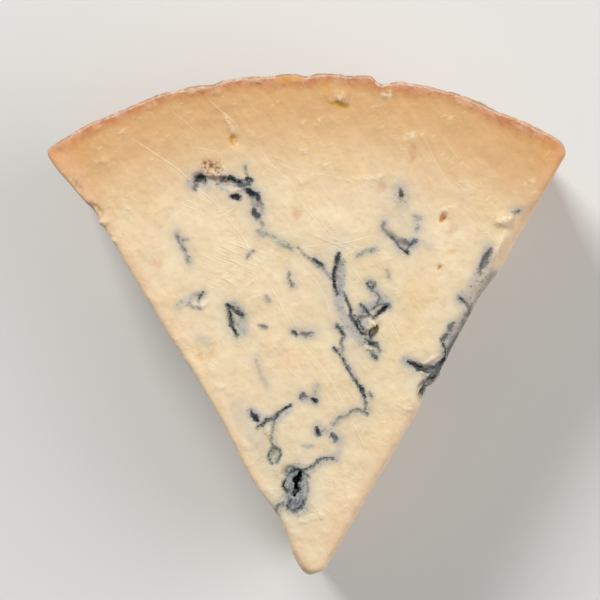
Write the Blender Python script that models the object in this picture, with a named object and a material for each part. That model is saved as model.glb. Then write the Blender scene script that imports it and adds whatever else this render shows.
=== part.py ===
"""A wedge of blue-veined drum cheese, cut as a sixth of the round, modelled as one solid.

The wedge lies on one of its level cut faces, with the other on top. Its crusted rind is the
curved wall towards +Y, and its point is towards -Y. Plan measures are in millimetres, from
the upright axis of the whole cheese, where the two cut walls would meet. Veins of mould that
stand open are cut into the solid, and smeared flakes of paste are raised on it.
"""

import math
from collections import namedtuple

import bmesh
import bpy
from mathutils import Matrix, Vector, noise

MM = 0.001

# Driving dimensions of the wedge, in millimetres and degrees
DRUM_RADIUS = 102.0
WEDGE_ANGLE = 60.4
HEIGHT = 46.0
POINT_FILLET = 3.1
LEFT_CORNER_FILLET = 1.6
RIGHT_CORNER_FILLET = 2.4

# How the walls stray from the true sector at the top, outwards, as (place, offset). The place
# is a distance from the axis on a cut wall, and a bearing in degrees on the rind.
LEFT_BOW = ((5, 0), (17, -1.0), (26, -0.4), (39, -1.2), (56, -0.6), (75, -0.2), (85, 0), (100, 2.4))
RIGHT_BOW = ((5, 0), (50, 0), (60, -0.6), (67, -0.8), (72, 0.3), (78, 0), (100, -0.2))
RIND_BOW = ((-31, 0.1), (-24, 0.5), (-18, 0.6), (-10, 0.2), (0, 0.1), (5, 0.5), (12, 0.1), (26, -0.4), (31, -0.6))
FOOT_BOW_SHARE = 0.5  # what is left of it at the foot
POINT_LIP = 0.5  # how far the point stands out below the top face

# How wide the top edge is worn round, as (distance from the axis, width)
LEFT_WEAR = ((0, 1.3), (20, 0.8), (80, 0.8), (100, 0.9))
RIGHT_WEAR = ((0, 1.3), (12, 1.6), (38, 2.0), (50, 3.2), (80, 3.8), (94, 1.8), (100, 0.9))
RIND_WEAR = 0.6
WEAR_HEIGHT = 0.7  # of the width
FOOT_ROUND = 0.9

# Notches that break the rind's top edge, as (bearing, half width, depth, reach down)
RIND_NOTCHES = ((7.7, 2.6, 2.0, 9.0), (-0.8, 1.8, 0.8, 5.0), (-11.2, 1.5, 0.7, 12.0), (-15.4, 1.3, 0.5, 4.0))

# Relief of each surface, as (size of a lump, height)
CRUST_LUMPS = ((11.0, 0.6), (5.0, 0.5))
WALL_WAVES = ((24.0, 0.4), (9.0, 0.15))
TOP_WAVES = ((22.0, 0.3), (8.0, 0.14))
CRUST_EDGE = 4.0  # width over which the crust's relief fades into the cut walls
TOP_EDGE = 5.0  # width over which the top's waves fade out at the rim

# Spacing of the mesh
RIND_STEP = 2.1
WALL_STEP = 3.4
TOP_STEP = 3.1
FILLET_STEPS = 4
POINT_STEPS = 8
BODY_ROWS = 13
FOOT_ROWS = 2
WEAR_ROWS = 3

HOLE_ROUGHNESS = 0.28
FLAKE_ROUGHNESS = 0.12
ROUGHNESS_SCALE = 1.7  # lumps across the radius of a hole or a flake
DEEP_HOLE = 6.0  # a hole this deep has a finer mesh

CRACK_STEP = 1.2
CRACK_RAGGEDNESS = 0.45
CRACK_LIFT = 0.8  # how far a crack's cutter stands above the face
CRACK_TIP = 0.3  # share of the width left at a crack's ends
# Section of a crack, as shares of its half width and of its depth below the face
CRACK_SECTION = ((1.0, -0.15), (0.7, -0.6), (0.1, -1.0), (-0.75, -0.55), (-1.0, -0.12))

Station = namedtuple("Station", "x y facing place wall")
Mark = namedtuple("Mark", "name face u v length width depth turn")
Crack = namedtuple("Crack", "name face width depth path")

# Holes where paste is missing. On the top face u and v are x and y. On a cut wall they are
# the distance from the axis and the height, and on the rind the bearing and the height.
HOLES = (
    Mark("point_hole", "top", -3.4, 21.4, 5.2, 3.8, 6.5, 78),
    Mark("point_hole_foot", "top", -4.2, 18.2, 4.0, 3.0, 3.2, 50),
    Mark("point_hole_shelf", "top", -4.9, 23.3, 3.6, 2.4, 1.6, 20),
    Mark("vein_hollow", "top", 11.9, 51.4, 3.4, 2.2, 4.0, 70),
    Mark("crumble_left", "top", -22.6, 80.9, 3.6, 2.9, 1.5, -60),
    Mark("crumble_brown", "top", -20.4, 83.2, 3.8, 2.6, 1.0, -30),
    Mark("crumble_dot", "top", -15.8, 77.7, 2.2, 1.4, 1.0, 20),
    Mark("edge_hole", "top", 22.4, 39.4, 5.6, 3.8, 8.0, 58),
    Mark("rind_pit", "top", -15.6, 88.6, 3.4, 1.5, 1.1, -62),
    Mark("amber_pit", "top", 25.6, 73.6, 3.0, 1.4, 1.4, 58),
    Mark("small_pit", "top", 24.8, 63.6, 1.8, 1.2, 0.9, 80),
    Mark("fork_pit", "top", 18.0, 68.2, 3.0, 2.0, 1.6, -38),
    Mark("blue_oval", "top", -7.7, 26.8, 3.4, 2.2, 1.0, 70),
    Mark("left_spot", "top", -23.0, 57.6, 3.0, 2.0, 0.7, 30),
    Mark("right_wall_pocket", "right", 61.0, 24.0, 6.0, 3.0, 2.8, 25),
    Mark("right_wall_pit", "right", 73.0, 12.5, 3.4, 1.9, 1.5, 50),
    Mark("left_wall_pocket", "left", 35.0, 26.0, 5.4, 3.0, 2.8, -40),
    Mark("left_wall_pit", "left", 22.0, 12.0, 3.2, 1.8, 1.3, 75),
    Mark("needle_hole_1", "rind", -20.0, 30.0, 2.0, 1.8, 5.0, 0),
    Mark("needle_hole_2", "rind", -8.0, 14.0, 2.0, 1.7, 4.0, 40),
    Mark("needle_hole_3", "rind", 3.0, 33.0, 1.9, 1.7, 5.0, 10),
    Mark("needle_hole_4", "rind", 14.0, 17.0, 2.1, 1.8, 4.5, 80),
    Mark("needle_hole_5", "rind", 24.0, 34.0, 1.9, 1.6, 4.0, 20),
)

# Veins that stand open as cracks, each with its width, its depth and its path over the face
CRACKS = (
    Crack("heart_split", "top", 1.9, 3.2, ((15.0, 56.2), (13.0, 55.1), (11.8, 53.9), (12.0, 51.9), (11.2, 48.8))),
    Crack("heart_fork", "top", 1.3, 1.1, ((7.8, 54.1), (9.6, 54.8), (11.4, 54.2))),
    Crack("centre_seam", "top", 1.3, 1.4, ((4.7, 67.0), (4.7, 65.4), (4.1, 62.5), (4.2, 59.7), (4.7, 58.3))),
    Crack("centre_seam_foot", "top", 1.0, 0.8, ((6.0, 58.4), (7.1, 55.4), (8.2, 52.8), (9.7, 50.0))),
    Crack("long_seam", "top", 0.9, 0.8, ((4.0, 47.8), (5.9, 45.5), (7.7, 42.4), (9.7, 39.4), (10.3, 36.8))),
    Crack("hook_seam", "top", 1.0, 0.8, ((4.5, 52.3), (6.0, 50.6), (5.3, 49.4), (5.6, 47.4))),
    Crack("crumble_band", "top", 2.0, 1.4, ((-21.2, 81.3), (-18.6, 80.8), (-15.6, 80.3), (-12.6, 80.9))),
    Crack("crumble_tail", "top", 1.9, 1.4, ((-13.6, 79.2), (-11.7, 77.8), (-11.1, 75.8), (-10.7, 73.6))),
    Crack("edge_slit", "top", 1.4, 2.2, ((18.5, 45.3), (20.2, 44.3), (21.8, 43.6), (24.0, 44.2))),
    Crack("edge_seam", "top", 1.4, 1.4, ((28.6, 57.8), (30.0, 56.8), (30.5, 54.6))),
    Crack("edge_seam_foot", "top", 1.0, 0.9, ((27.4, 52.7), (26.6, 50.8), (25.3, 49.4), (26.0, 47.5), (25.8, 45.7))),
    Crack("edge_lens", "top", 1.5, 1.0, ((34.9, 67.6), (34.0, 65.6), (32.7, 62.6))),
    Crack("fork_seam", "top", 1.1, 1.2, ((13.8, 72.6), (14.3, 70.9), (16.0, 69.1), (18.2, 67.0))),
    Crack("left_fleck", "top", 0.9, 0.7, ((-27.3, 70.8), (-26.1, 68.0), (-24.7, 64.9))),
    Crack("dark_tick", "top", 1.4, 1.0, ((-17.8, 56.6), (-16.6, 54.0), (-15.3, 50.2))),
    Crack("dark_tick_arm", "top", 1.2, 0.8, ((-17.4, 56.4), (-15.8, 55.6), (-14.0, 54.4))),
    Crack("low_hook", "top", 1.1, 1.2, ((-12.6, 35.5), (-11.3, 33.3), (-7.9, 33.4), (-6.7, 35.3), (-4.3, 36.7))),
    Crack("right_wall_split", "right", 1.7, 2.2, ((44.5, 39.0), (46.5, 34.0), (49.5, 30.0), (49.0, 25.0))),
    Crack("right_wall_seam", "right", 1.3, 1.3, ((30.0, 20.0), (34.0, 17.0), (38.5, 16.5), (41.5, 13.0))),
    Crack("right_wall_vein", "right", 1.2, 1.0, ((66.0, 37.0), (70.0, 34.0), (75.0, 34.5), (79.0, 30.0))),
    Crack("left_wall_split", "left", 1.5, 1.7, ((49.0, 12.0), (54.0, 15.0), (59.0, 14.5), (63.5, 18.5))),
    Crack("left_wall_seam", "left", 1.5, 1.4, ((65.0, 36.0), (68.0, 31.5), (67.0, 27.5), (70.5, 24.0))),
    Crack("left_wall_vein", "left", 1.1, 1.0, ((17.0, 31.0), (21.0, 28.0), (23.0, 24.0))),
)

# Paste that the knife smeared or lifted, with its height in place of a depth
FLAKES = (
    Mark("rind_flake", "top", 4.4, 98.0, 6.4, 5.4, 0.7, 80),
    Mark("rind_blob", "top", 5.1, 97.2, 3.4, 2.2, 1.2, -50),
    Mark("edge_blob", "top", 37.4, 73.2, 3.4, 2.6, 0.9, 0),
    Mark("edge_ridge", "top", 36.2, 67.2, 9.0, 1.5, 0.5, 60),
    Mark("amber_ridge", "top", 27.0, 74.6, 3.6, 1.3, 0.5, 58),
)

HALF_ANGLE = math.radians(WEDGE_ANGLE / 2)
WALL_FACING = HALF_ANGLE + math.pi / 2


def between(pairs, place):
    """The value at a place, read from (place, value) pairs with smooth steps between them."""
    if place <= pairs[0][0]:
        return pairs[0][1]
    for (start, low), (end, high) in zip(pairs, pairs[1:]):
        if place <= end:
            share = (place - start) / (end - start)
            share = share * share * (3 - 2 * share)
            return low + (high - low) * share
    return pairs[-1][1]


def lumps(u, v, layers, seed):
    """Sum of soft noise layers, each of a given lump size and height."""
    total = 0.0
    for size, height in layers:
        total += height * noise.noise(Vector((u / size, v / size, seed + size)))
    return total


def steps(start, end, spacing):
    """Evenly spaced values from start to end."""
    count = max(1, round(abs(end - start) / spacing))
    return [start + (end - start) * i / count for i in range(count + 1)]


def along(bearing, distance):
    """The plan vector at a bearing from +Y, clockwise."""
    return Vector((distance * math.sin(bearing), distance * math.cos(bearing), 0))


def corner_swing(fillet):
    """Bearing between a cut wall and the centre of the fillet that joins it to the rind."""
    return math.asin(fillet / (DRUM_RADIUS - fillet))


def wall_end(fillet):
    """Distance from the axis at which a cut wall runs into its fillet."""
    return (DRUM_RADIUS - fillet) * math.cos(corner_swing(fillet))


def fillet_arc(centre, radius, start, end, count, place, wall):
    """Stations round a fillet, its ends left out. Facing is the bearing the wall looks to."""
    found = []
    for i in range(1, count):
        facing = start + (end - start) * i / count
        spot = centre + along(facing, radius)
        found.append(Station(spot.x, spot.y, facing, place, wall))
    return found


def straight_wall(side, start, end, wall):
    """Stations along a cut wall, between two distances from the axis."""
    found = []
    for place in steps(start, end, WALL_STEP):
        spot = along(side * HALF_ANGLE, place)
        found.append(Station(spot.x, spot.y, side * WALL_FACING, place, wall))
    return found


def corner_arc(side, fillet, wall):
    """Stations of the fillet between a cut wall and the rind, from the wall to the rind."""
    bearing = side * (HALF_ANGLE - corner_swing(fillet))
    centre = along(bearing, DRUM_RADIUS - fillet)
    return fillet_arc(centre, fillet, side * WALL_FACING, bearing, FILLET_STEPS, wall_end(fillet), wall)


def plan_stations():
    """The wedge's plan, counter-clockwise from the point: right wall, rind, left wall."""
    tangent = POINT_FILLET / math.tan(HALF_ANGLE)
    point_centre = Vector((0, POINT_FILLET / math.sin(HALF_ANGLE), 0))
    stations = straight_wall(1, tangent, wall_end(RIGHT_CORNER_FILLET), "right")
    stations += corner_arc(1, RIGHT_CORNER_FILLET, "right_corner")
    first = HALF_ANGLE - corner_swing(RIGHT_CORNER_FILLET)
    last = corner_swing(LEFT_CORNER_FILLET) - HALF_ANGLE
    for bearing in steps(first, last, RIND_STEP / DRUM_RADIUS):
        spot = along(bearing, DRUM_RADIUS)
        stations.append(Station(spot.x, spot.y, bearing, math.degrees(bearing), "rind"))
    stations += reversed(corner_arc(-1, LEFT_CORNER_FILLET, "left_corner"))
    stations += straight_wall(-1, wall_end(LEFT_CORNER_FILLET), tangent, "left")
    stations += fillet_arc(
        point_centre, POINT_FILLET, 2 * math.pi - WALL_FACING, WALL_FACING, POINT_STEPS, tangent, "point"
    )
    return stations


def crust_share(station):
    """1 on the rind, fading to 0 on the cut walls beside it."""
    if station.wall == "rind":
        return 1.0
    return max(0.0, 1 - (DRUM_RADIUS - math.hypot(station.x, station.y)) / CRUST_EDGE) ** 2


def notch_depth(bearing, z):
    """How far the broken notches of the rind's top edge cut in."""
    depth = 0.0
    for middle, half_width, deepest, reach in RIND_NOTCHES:
        across = math.radians(bearing - middle) * DRUM_RADIUS / half_width
        if abs(across) < 1:
            depth += deepest * (1 - abs(across)) * math.exp(-(((HEIGHT - z) / reach) ** 2))
    return depth


def bow(station, z):
    """Vector from the true sector to the wall as it strays here, without its relief."""
    fade = FOOT_BOW_SHARE + (1 - FOOT_BOW_SHARE) * z / HEIGHT
    side = 1 if station.x > 0 else -1
    if station.wall == "rind":
        offset = between(RIND_BOW, station.place) * fade - notch_depth(station.place, z)
        return along(station.facing, offset)
    if station.wall == "point":
        below_top = between(((HEIGHT - 6, 1), (HEIGHT - 1, 0)), z)
        turned = (station.facing - WALL_FACING) / (2 * math.pi - 2 * WALL_FACING)
        return along(station.facing, POINT_LIP * below_top * math.sin(math.pi * turned))
    cut = between(RIGHT_BOW if side > 0 else LEFT_BOW, station.place) * fade
    shift = along(side * WALL_FACING, cut)
    if "corner" in station.wall:
        rind = between(RIND_BOW, side * WEDGE_ANGLE / 2) * fade
        shift += along(side * HALF_ANGLE, rind)
    return shift


def relief(station, z):
    """How far the crust's lumps or the cut wall's waves stand out here."""
    share = crust_share(station)
    run = math.hypot(station.x, station.y)
    crust = lumps(station.x, z, CRUST_LUMPS, seed=2)
    return share * crust + (1 - share) * lumps(run, z, WALL_WAVES, seed=5 + (station.x > 0))


def wall_point(station, z, inset=0.0):
    """The wall's point at a station and a height, in millimetres."""
    out = along(station.facing, relief(station, z) - inset)
    return Vector((station.x, station.y, z)) + bow(station, z) + out


def wear_width(station):
    """Width of the worn round along the top edge."""
    if station.wall == "rind":
        return RIND_WEAR
    return between(RIGHT_WEAR if station.x > 0 else LEFT_WEAR, station.place)


def wall_rows(station):
    """(height, inset) up the wall: the foot's round, the body and the worn top edge."""
    rows = []
    for i in range(FOOT_ROWS):
        turn = math.pi / 2 * i / FOOT_ROWS
        rows.append((FOOT_ROUND * (1 - math.cos(turn)), FOOT_ROUND * (1 - math.sin(turn))))
    width = wear_width(station)
    top = HEIGHT - width * WEAR_HEIGHT
    for i in range(BODY_ROWS + 1):
        rows.append((FOOT_ROUND + (top - FOOT_ROUND) * i / BODY_ROWS, 0.0))
    for i in range(1, WEAR_ROWS + 1):
        turn = math.pi / 2 * i / WEAR_ROWS
        rows.append((top + (HEIGHT - top) * math.sin(turn), width * (1 - math.cos(turn))))
    return rows


def top_height(x, y):
    """Height of the top face: it waves a little, and drops where its edge is worn round."""
    bearing = math.atan2(x, y)
    run = math.hypot(x, y)
    to_wall = run * math.sin(HALF_ANGLE - abs(bearing))
    place = run * math.cos(HALF_ANGLE - abs(bearing))
    width = wear_width(Station(x, y, bearing, place, "cut"))
    worn = max(0.0, min(1.0, 1 - to_wall / width))
    drop = width * WEAR_HEIGHT * (1 - math.sqrt(1 - worn * worn))
    inside = max(0.0, min(1.0, min(to_wall, DRUM_RADIUS - run) / TOP_EDGE))
    return HEIGHT - drop + inside * lumps(x, y, TOP_WAVES, seed=9)


def wave_top(made, cap):
    """Cuts the level top cap into squares and gives it its waves."""
    lines = [(Vector((1, 0, 0)), x) for x in steps(-DRUM_RADIUS / 2, DRUM_RADIUS / 2, TOP_STEP)]
    lines += [(Vector((0, 1, 0)), y) for y in steps(0, DRUM_RADIUS, TOP_STEP)]
    faces = [cap]
    for normal, place in lines:
        geometry = set(faces)
        for face in faces:
            geometry.update(face.edges)
            geometry.update(face.verts)
        cut = bmesh.ops.bisect_plane(
            made, geom=list(geometry), dist=0.2 * MM, plane_co=normal * place * MM, plane_no=normal
        )
        faces = [item for item in cut["geom"] if isinstance(item, bmesh.types.BMFace)]
    inner = set(faces)
    for vert in {vert for face in faces for vert in face.verts}:
        if all(face in inner for face in vert.link_faces):
            vert.co.z = top_height(vert.co.x / MM, vert.co.y / MM) * MM


def wedge_mesh():
    """The closed wedge: one ring of points for each row of the wall, and two caps."""
    stations = plan_stations()
    made = bmesh.new()
    columns = []
    for station in stations:
        columns.append([made.verts.new(wall_point(station, z, inset) * MM) for z, inset in wall_rows(station)])
    for i, column in enumerate(columns):
        after = columns[(i + 1) % len(columns)]
        is_rind = "rind" in (stations[i].wall, stations[(i + 1) % len(columns)].wall)
        for j in range(len(column) - 1):
            face = made.faces.new((column[j], after[j], after[j + 1], column[j + 1]))
            face.material_index = int(is_rind)
    made.faces.new([column[0] for column in reversed(columns)])
    wave_top(made, made.faces.new([column[-1] for column in columns]))
    for face in made.faces:
        face.smooth = True
    return finished(made, "cheese_wedge")


def face_frame(face, u, v):
    """Matrix of a place on a face in millimetres, its Z pointing out of the cheese."""
    if face == "top":
        return Matrix.Translation((u, v, top_height(u, v)))
    if face == "rind":
        facing = math.radians(u)
        spot = along(facing, DRUM_RADIUS)
    else:
        side = 1 if face == "right" else -1
        facing = side * WALL_FACING
        spot = along(side * HALF_ANGLE, u)
    out = along(facing, 1)
    up = Vector((0, 0, 1))
    axes = Matrix((up.cross(out), up, out)).transposed().to_4x4()
    return Matrix.Translation(wall_point(Station(spot.x, spot.y, facing, u, face), v)) @ axes


def pebble_mesh(mark, roughness):
    """A lumpy ellipsoid of the mark's size, in place on its face."""
    made = bmesh.new()
    bmesh.ops.create_icosphere(made, subdivisions=3 if mark.depth > DEEP_HOLE else 2, radius=1.0)
    frame = face_frame(mark.face, mark.u, mark.v) @ Matrix.Rotation(math.radians(mark.turn), 4, "Z")
    seed = Vector((mark.u, mark.v, mark.length))
    half = Vector((mark.length / 2, mark.width / 2, mark.depth))
    for vert in made.verts:
        vert.co *= 1 + roughness * noise.noise(vert.co * ROUGHNESS_SCALE + seed)
        vert.co = frame @ (vert.co * half) * MM
    return finished(made, mark.name)


def rounded_path(path):
    """The path with its corners cut twice, in short even steps."""
    points = [Vector(point) for point in path]
    for _ in range(2):
        softer = [points[0]]
        for a, b in zip(points, points[1:]):
            softer += [a.lerp(b, 0.25), a.lerp(b, 0.75)]
        points = softer + [points[-1]]
    even = [points[0]]
    for point in points[1:-1]:
        if (point - even[-1]).length >= CRACK_STEP * 0.8:
            even.append(point)
    if (points[-1] - even[-1]).length < CRACK_STEP * 0.6:
        even.pop()
    return even + [points[-1]]


def crack_mesh(crack):
    """A ragged furrow along its path: broad at the face, keeled below, thin at its ends."""
    frames = [face_frame(crack.face, point.x, point.y) for point in rounded_path(crack.path)]
    made = bmesh.new()
    rings = []
    for i, frame in enumerate(frames):
        before = frames[max(0, i - 1)].translation
        after = frames[min(len(frames) - 1, i + 1)].translation
        out = (frame.to_3x3() @ Vector((0, 0, 1))).normalized()
        across = (after - before).cross(out).normalized()
        centre = frame.translation
        ragged = [1 + CRACK_RAGGEDNESS * noise.noise(centre * 0.9 + Vector((0, 0, 7 * k))) for k in range(3)]
        swell = CRACK_TIP + (1 - CRACK_TIP) * math.sqrt(abs(math.sin(math.pi * i / (len(frames) - 1))))
        half_width = crack.width / 2 * swell
        depth = crack.depth * swell * ragged[2]
        ring = [centre + across * half_width + out * CRACK_LIFT]
        for aside, down in CRACK_SECTION:
            share = ragged[0] if aside > 0 else ragged[1]
            ring.append(centre + across * (aside * half_width * share) + out * (down * depth))
        ring.append(centre - across * half_width + out * CRACK_LIFT)
        rings.append([made.verts.new(spot * MM) for spot in ring])
    for ring, after in zip(rings, rings[1:]):
        for j in range(len(ring)):
            k = (j + 1) % len(ring)
            made.faces.new((ring[j], after[j], after[k], ring[k]))
    made.faces.new(rings[0])
    made.faces.new(rings[-1][::-1])
    bmesh.ops.recalc_face_normals(made, faces=made.faces)
    return finished(made, crack.name)


def finished(made, name):
    """The built shape as a mesh."""
    mesh = bpy.data.meshes.new(name)
    made.to_mesh(mesh)
    made.free()
    return mesh


def helpers(name, meshes, material, parent):
    """A collection of hidden lumps that one Boolean joins to the wedge or cuts from it."""
    collection = bpy.data.collections.new(name)
    bpy.context.scene.collection.children.link(collection)
    for mesh in meshes:
        mesh.materials.append(material)
        lump = bpy.data.objects.new(mesh.name, mesh)
        lump.parent = parent
        lump.hide_render = True
        lump.display_type = "WIRE"
        collection.objects.link(lump)
    return collection


def boolean(wedge, name, operation, collection):
    """One Boolean of the whole collection, which keeps the helpers' material."""
    modifier = wedge.modifiers.new(name, "BOOLEAN")
    modifier.operation = operation
    modifier.operand_type = "COLLECTION"
    modifier.collection = collection
    modifier.solver = "EXACT"
    modifier.material_mode = "TRANSFER"


def plain_material(name, colour, roughness):
    """A plain Principled material."""
    made = bpy.data.materials.new(name)
    made.use_nodes = True
    shader = made.node_tree.nodes["Principled BSDF"]
    shader.inputs["Base Color"].default_value = (*colour, 1.0)
    shader.inputs["Roughness"].default_value = roughness
    shader.inputs["Metallic"].default_value = 0.0
    made.diffuse_color = (*colour, 1.0)
    return made


def main():
    """Empties the scene and builds the wedge with the middle of its foot at the origin."""
    for old in list(bpy.data.objects):
        bpy.data.objects.remove(old)
    paste = plain_material("cream_paste", (0.80, 0.63, 0.41), 0.45)
    rind = plain_material("crusted_rind", (0.55, 0.31, 0.17), 0.85)
    blue = plain_material("blue_vein", (0.09, 0.11, 0.13), 0.7)

    mesh = wedge_mesh()
    mesh.materials.append(paste)
    mesh.materials.append(rind)
    xs = [vertex.co.x for vertex in mesh.vertices]
    ys = [vertex.co.y for vertex in mesh.vertices]
    axis = bpy.data.objects.new("drum_axis", None)
    axis.location = (-(min(xs) + max(xs)) / 2, -(min(ys) + max(ys)) / 2, 0)
    bpy.context.scene.collection.objects.link(axis)

    wedge = bpy.data.objects.new("cheese_wedge", mesh)
    wedge.parent = axis
    bpy.context.scene.collection.objects.link(wedge)
    flakes = [pebble_mesh(mark, FLAKE_ROUGHNESS) for mark in FLAKES]
    openings = [pebble_mesh(mark, HOLE_ROUGHNESS) for mark in HOLES]
    openings += [crack_mesh(crack) for crack in CRACKS]
    boolean(wedge, "raised_flakes", "UNION", helpers("flakes", flakes, paste, axis))
    boolean(wedge, "open_veins", "DIFFERENCE", helpers("openings", openings, blue, axis))
    print(f"drum axis at x {axis.location.x / MM:.2f} mm, y {axis.location.y / MM:.2f} mm")


main()
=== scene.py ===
# %% [markdown]
# # A wedge of blue-veined drum cheese
#
# The wedge is one piece of food: cream paste, blue veins of mould that grew in its cracks, and
# a crusted rind on the curved wall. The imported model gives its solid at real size. This lesson
# grows a fine skin from that solid and paints it, so the two always share one place and size.

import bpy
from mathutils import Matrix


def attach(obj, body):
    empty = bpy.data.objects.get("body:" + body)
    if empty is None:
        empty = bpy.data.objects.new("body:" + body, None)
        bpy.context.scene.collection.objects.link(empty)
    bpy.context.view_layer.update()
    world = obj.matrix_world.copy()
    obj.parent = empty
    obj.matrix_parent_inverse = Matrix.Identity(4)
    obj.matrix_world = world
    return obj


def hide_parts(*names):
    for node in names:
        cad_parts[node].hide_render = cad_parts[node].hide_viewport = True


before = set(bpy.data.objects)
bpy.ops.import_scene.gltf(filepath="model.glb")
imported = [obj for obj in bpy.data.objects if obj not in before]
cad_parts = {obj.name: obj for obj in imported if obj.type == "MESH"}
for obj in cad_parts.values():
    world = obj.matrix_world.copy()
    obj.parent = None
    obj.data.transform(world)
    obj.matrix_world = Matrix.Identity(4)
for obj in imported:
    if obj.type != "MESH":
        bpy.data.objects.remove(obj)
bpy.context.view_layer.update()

# %% [markdown]
# ## Where things are
#
# The cheese was a drum, and this is a sixth of it. All places below are in millimetres from
# the drum's upright axis, because the rind is then simply a radius and each cut wall a
# bearing. Marks on the top face were read off the photograph, so one helper turns a pixel of
# the photograph into a place.

# %% Sizes of the wedge and the photograph's scale
import math
import random
from collections import namedtuple

import bmesh
import bpy
import numpy as np
from mathutils import Matrix, Vector, noise

MM = 0.001
DRUM_RADIUS = 102.0
HALF_ANGLE = math.radians(30.2)
HEIGHT = 46.0
DRUM_AXIS = np.array((1.29, -52.45, 0.0))  # the drum's axis in the part's frame
PHOTO_SCALE = 5.06  # pixels to a millimetre of the top face
PHOTO_AXIS = (314.0, 590.0)  # pixel at which the axis would stand
PHOTO_MIDDLE = (300.0, 300.0)


def place_of(pixel):
    """Millimetres from the drum's axis of a pixel of the photograph."""
    return (pixel[0] - PHOTO_AXIS[0]) / PHOTO_SCALE, (PHOTO_AXIS[1] - pixel[1]) / PHOTO_SCALE


print("point of the wedge:", place_of((316, 572)), "mm from the axis")

# %% [markdown]
# ## The skin
#
# Cheese has no parts to assemble, so the visible piece is one mesh. The solid from the model
# is coarse, with flat facets a few millimetres wide. A voxel remesh covers it with small even
# squares, also inside its holes and cracks, and a little smoothing melts the facets away.
# Sculpting by hand would give the same look, but it couldn't be repeated by a script. The
# crumbs that still bridge the open holes are added first, and the remesh fuses them in. A
# crumb's place is a pixel, and its half sizes and its drop below the top face are millimetres.

# %% Remesh the solid finely
SKIN_VOXEL = 0.45
SKIN_SMOOTHING = 4
WELD_GAP = 0.001
CRUMB_THICKNESS = 0.55  # half the height of a crumb
CRUMB_RAGGED = 0.35  # how far noise pushes its surface in or out, as a share

Crumb = namedtuple("Crumb", "name pixel along across drop turn")
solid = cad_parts["cheese_wedge"]
rough = bpy.data.objects.new("rough_wedge", solid.data.copy())
bpy.context.scene.collection.objects.link(rough)
weld = rough.modifiers.new("weld", "WELD")
weld.merge_threshold = WELD_GAP * MM
CRUMBS = (
    Crumb("bridge", (370, 324), 1.45, 0.7, 0.25, 40),
    Crumb("bridge end", (377, 317), 1.0, 0.6, 0.6, 35),
    Crumb("loose flake", (381, 321), 0.65, 0.55, 0.9, 70),
    Crumb("slit ridge", (379, 307), 1.5, 0.5, 0.55, 38),
    Crumb("pit floor", (377, 332), 0.9, 0.8, 2.0, 60),
    Crumb("left lip", (364, 331), 0.8, 0.6, 0.7, -50),
    Crumb("notch crumb", (433, 377), 0.8, 0.6, 1.2, 60),
    Crumb("point crumb", (304, 500), 0.9, 0.7, 1.6, 20),
    Crumb("point lobe", (290, 482), 1.3, 0.75, 0.5, 100),
    Crumb("point upper lobe", (292, 473), 1.0, 0.6, 0.6, 10),
    Crumb("point floor lump", (291, 502), 1.0, 0.8, 0.8, 60),
    Crumb("point right lip", (305, 488), 1.1, 0.45, 0.7, 95),
    Crumb("amber pit floor", (441, 218), 0.9, 0.55, 1.5, 60),
    Crumb("amber pit lip", (444, 213), 0.5, 0.35, 0.55, 60),
)
crumb_work = bmesh.new()
crumb_work.from_mesh(rough.data)
for crumb in CRUMBS:
    middle = Vector((*place_of(crumb.pixel), HEIGHT - crumb.drop)) + Vector(DRUM_AXIS)
    turned = Matrix.Rotation(math.radians(crumb.turn), 4, "Z")
    sized = Matrix.Diagonal((crumb.along, crumb.across, CRUMB_THICKNESS, 1.0))
    ball = bmesh.ops.create_icosphere(crumb_work, subdivisions=3, radius=1.0)["verts"]
    for vert in ball:
        vert.co *= 1 + CRUMB_RAGGED * noise.noise(vert.co * 1.4 + middle)
        vert.co = (middle + turned @ sized @ vert.co) * MM
crumb_work.to_mesh(rough.data)
crumb_work.free()
remesh = rough.modifiers.new("remesh", "REMESH")
remesh.mode = "VOXEL"
remesh.voxel_size = SKIN_VOXEL * MM
soften = rough.modifiers.new("soften", "SMOOTH")
soften.factor = 0.5
soften.iterations = SKIN_SMOOTHING
skin = bpy.data.meshes.new_from_object(rough.evaluated_get(bpy.context.evaluated_depsgraph_get()))
bpy.data.objects.remove(rough)
print("crumbs:", len(CRUMBS), "skin points:", len(skin.vertices))

# %% [markdown]
# Every face of the cheese gets its own flat map, with two directions along the face and the
# depth below it, so a vein can be drawn on a wall exactly as on the top. Numpy works on all
# the points of the skin at once.

# %% Maps of the faces
SINE, COSINE = math.sin(HALF_ANGLE), math.cos(HALF_ANGLE)


def read_points(mesh):
    """Every point of a mesh, in millimetres from the drum's axis."""
    flat = np.empty(len(mesh.vertices) * 3)
    mesh.vertices.foreach_get("co", flat)
    return flat.reshape(-1, 3) / MM - DRUM_AXIS


def face_maps(points):
    """For each face: two distances along it and the depth below it."""
    x, y, z = points.T
    return {
        "top": (x, y, HEIGHT - z),
        "foot": (x, y, z),
        "right": (x * SINE + y * COSINE, z, y * SINE - x * COSINE),
        "left": (y * COSINE - x * SINE, z, x * COSINE + y * SINE),
        "rind": (np.arctan2(x, y) * DRUM_RADIUS, z, DRUM_RADIUS - np.hypot(x, y)),
    }


def ramp(value, low, high):
    """0 below low, 1 above high, with a smooth step between."""
    share = np.clip((value - low) / (high - low), 0, 1)
    return share * share * (3 - 2 * share)


def soft_noise(size, seed, stretch=(1, 1, 1)):
    """Noise from -1 to 1 at every point, with lumps of a given size in millimetres."""
    scaled = points / (np.array(stretch) * size) + seed * 17.3
    return np.array([noise.noise(Vector(p)) for p in scaled])


points = read_points(skin)
maps = face_maps(points)
print("top face points:", int((maps["top"][2] < 0.6).sum()))

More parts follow.
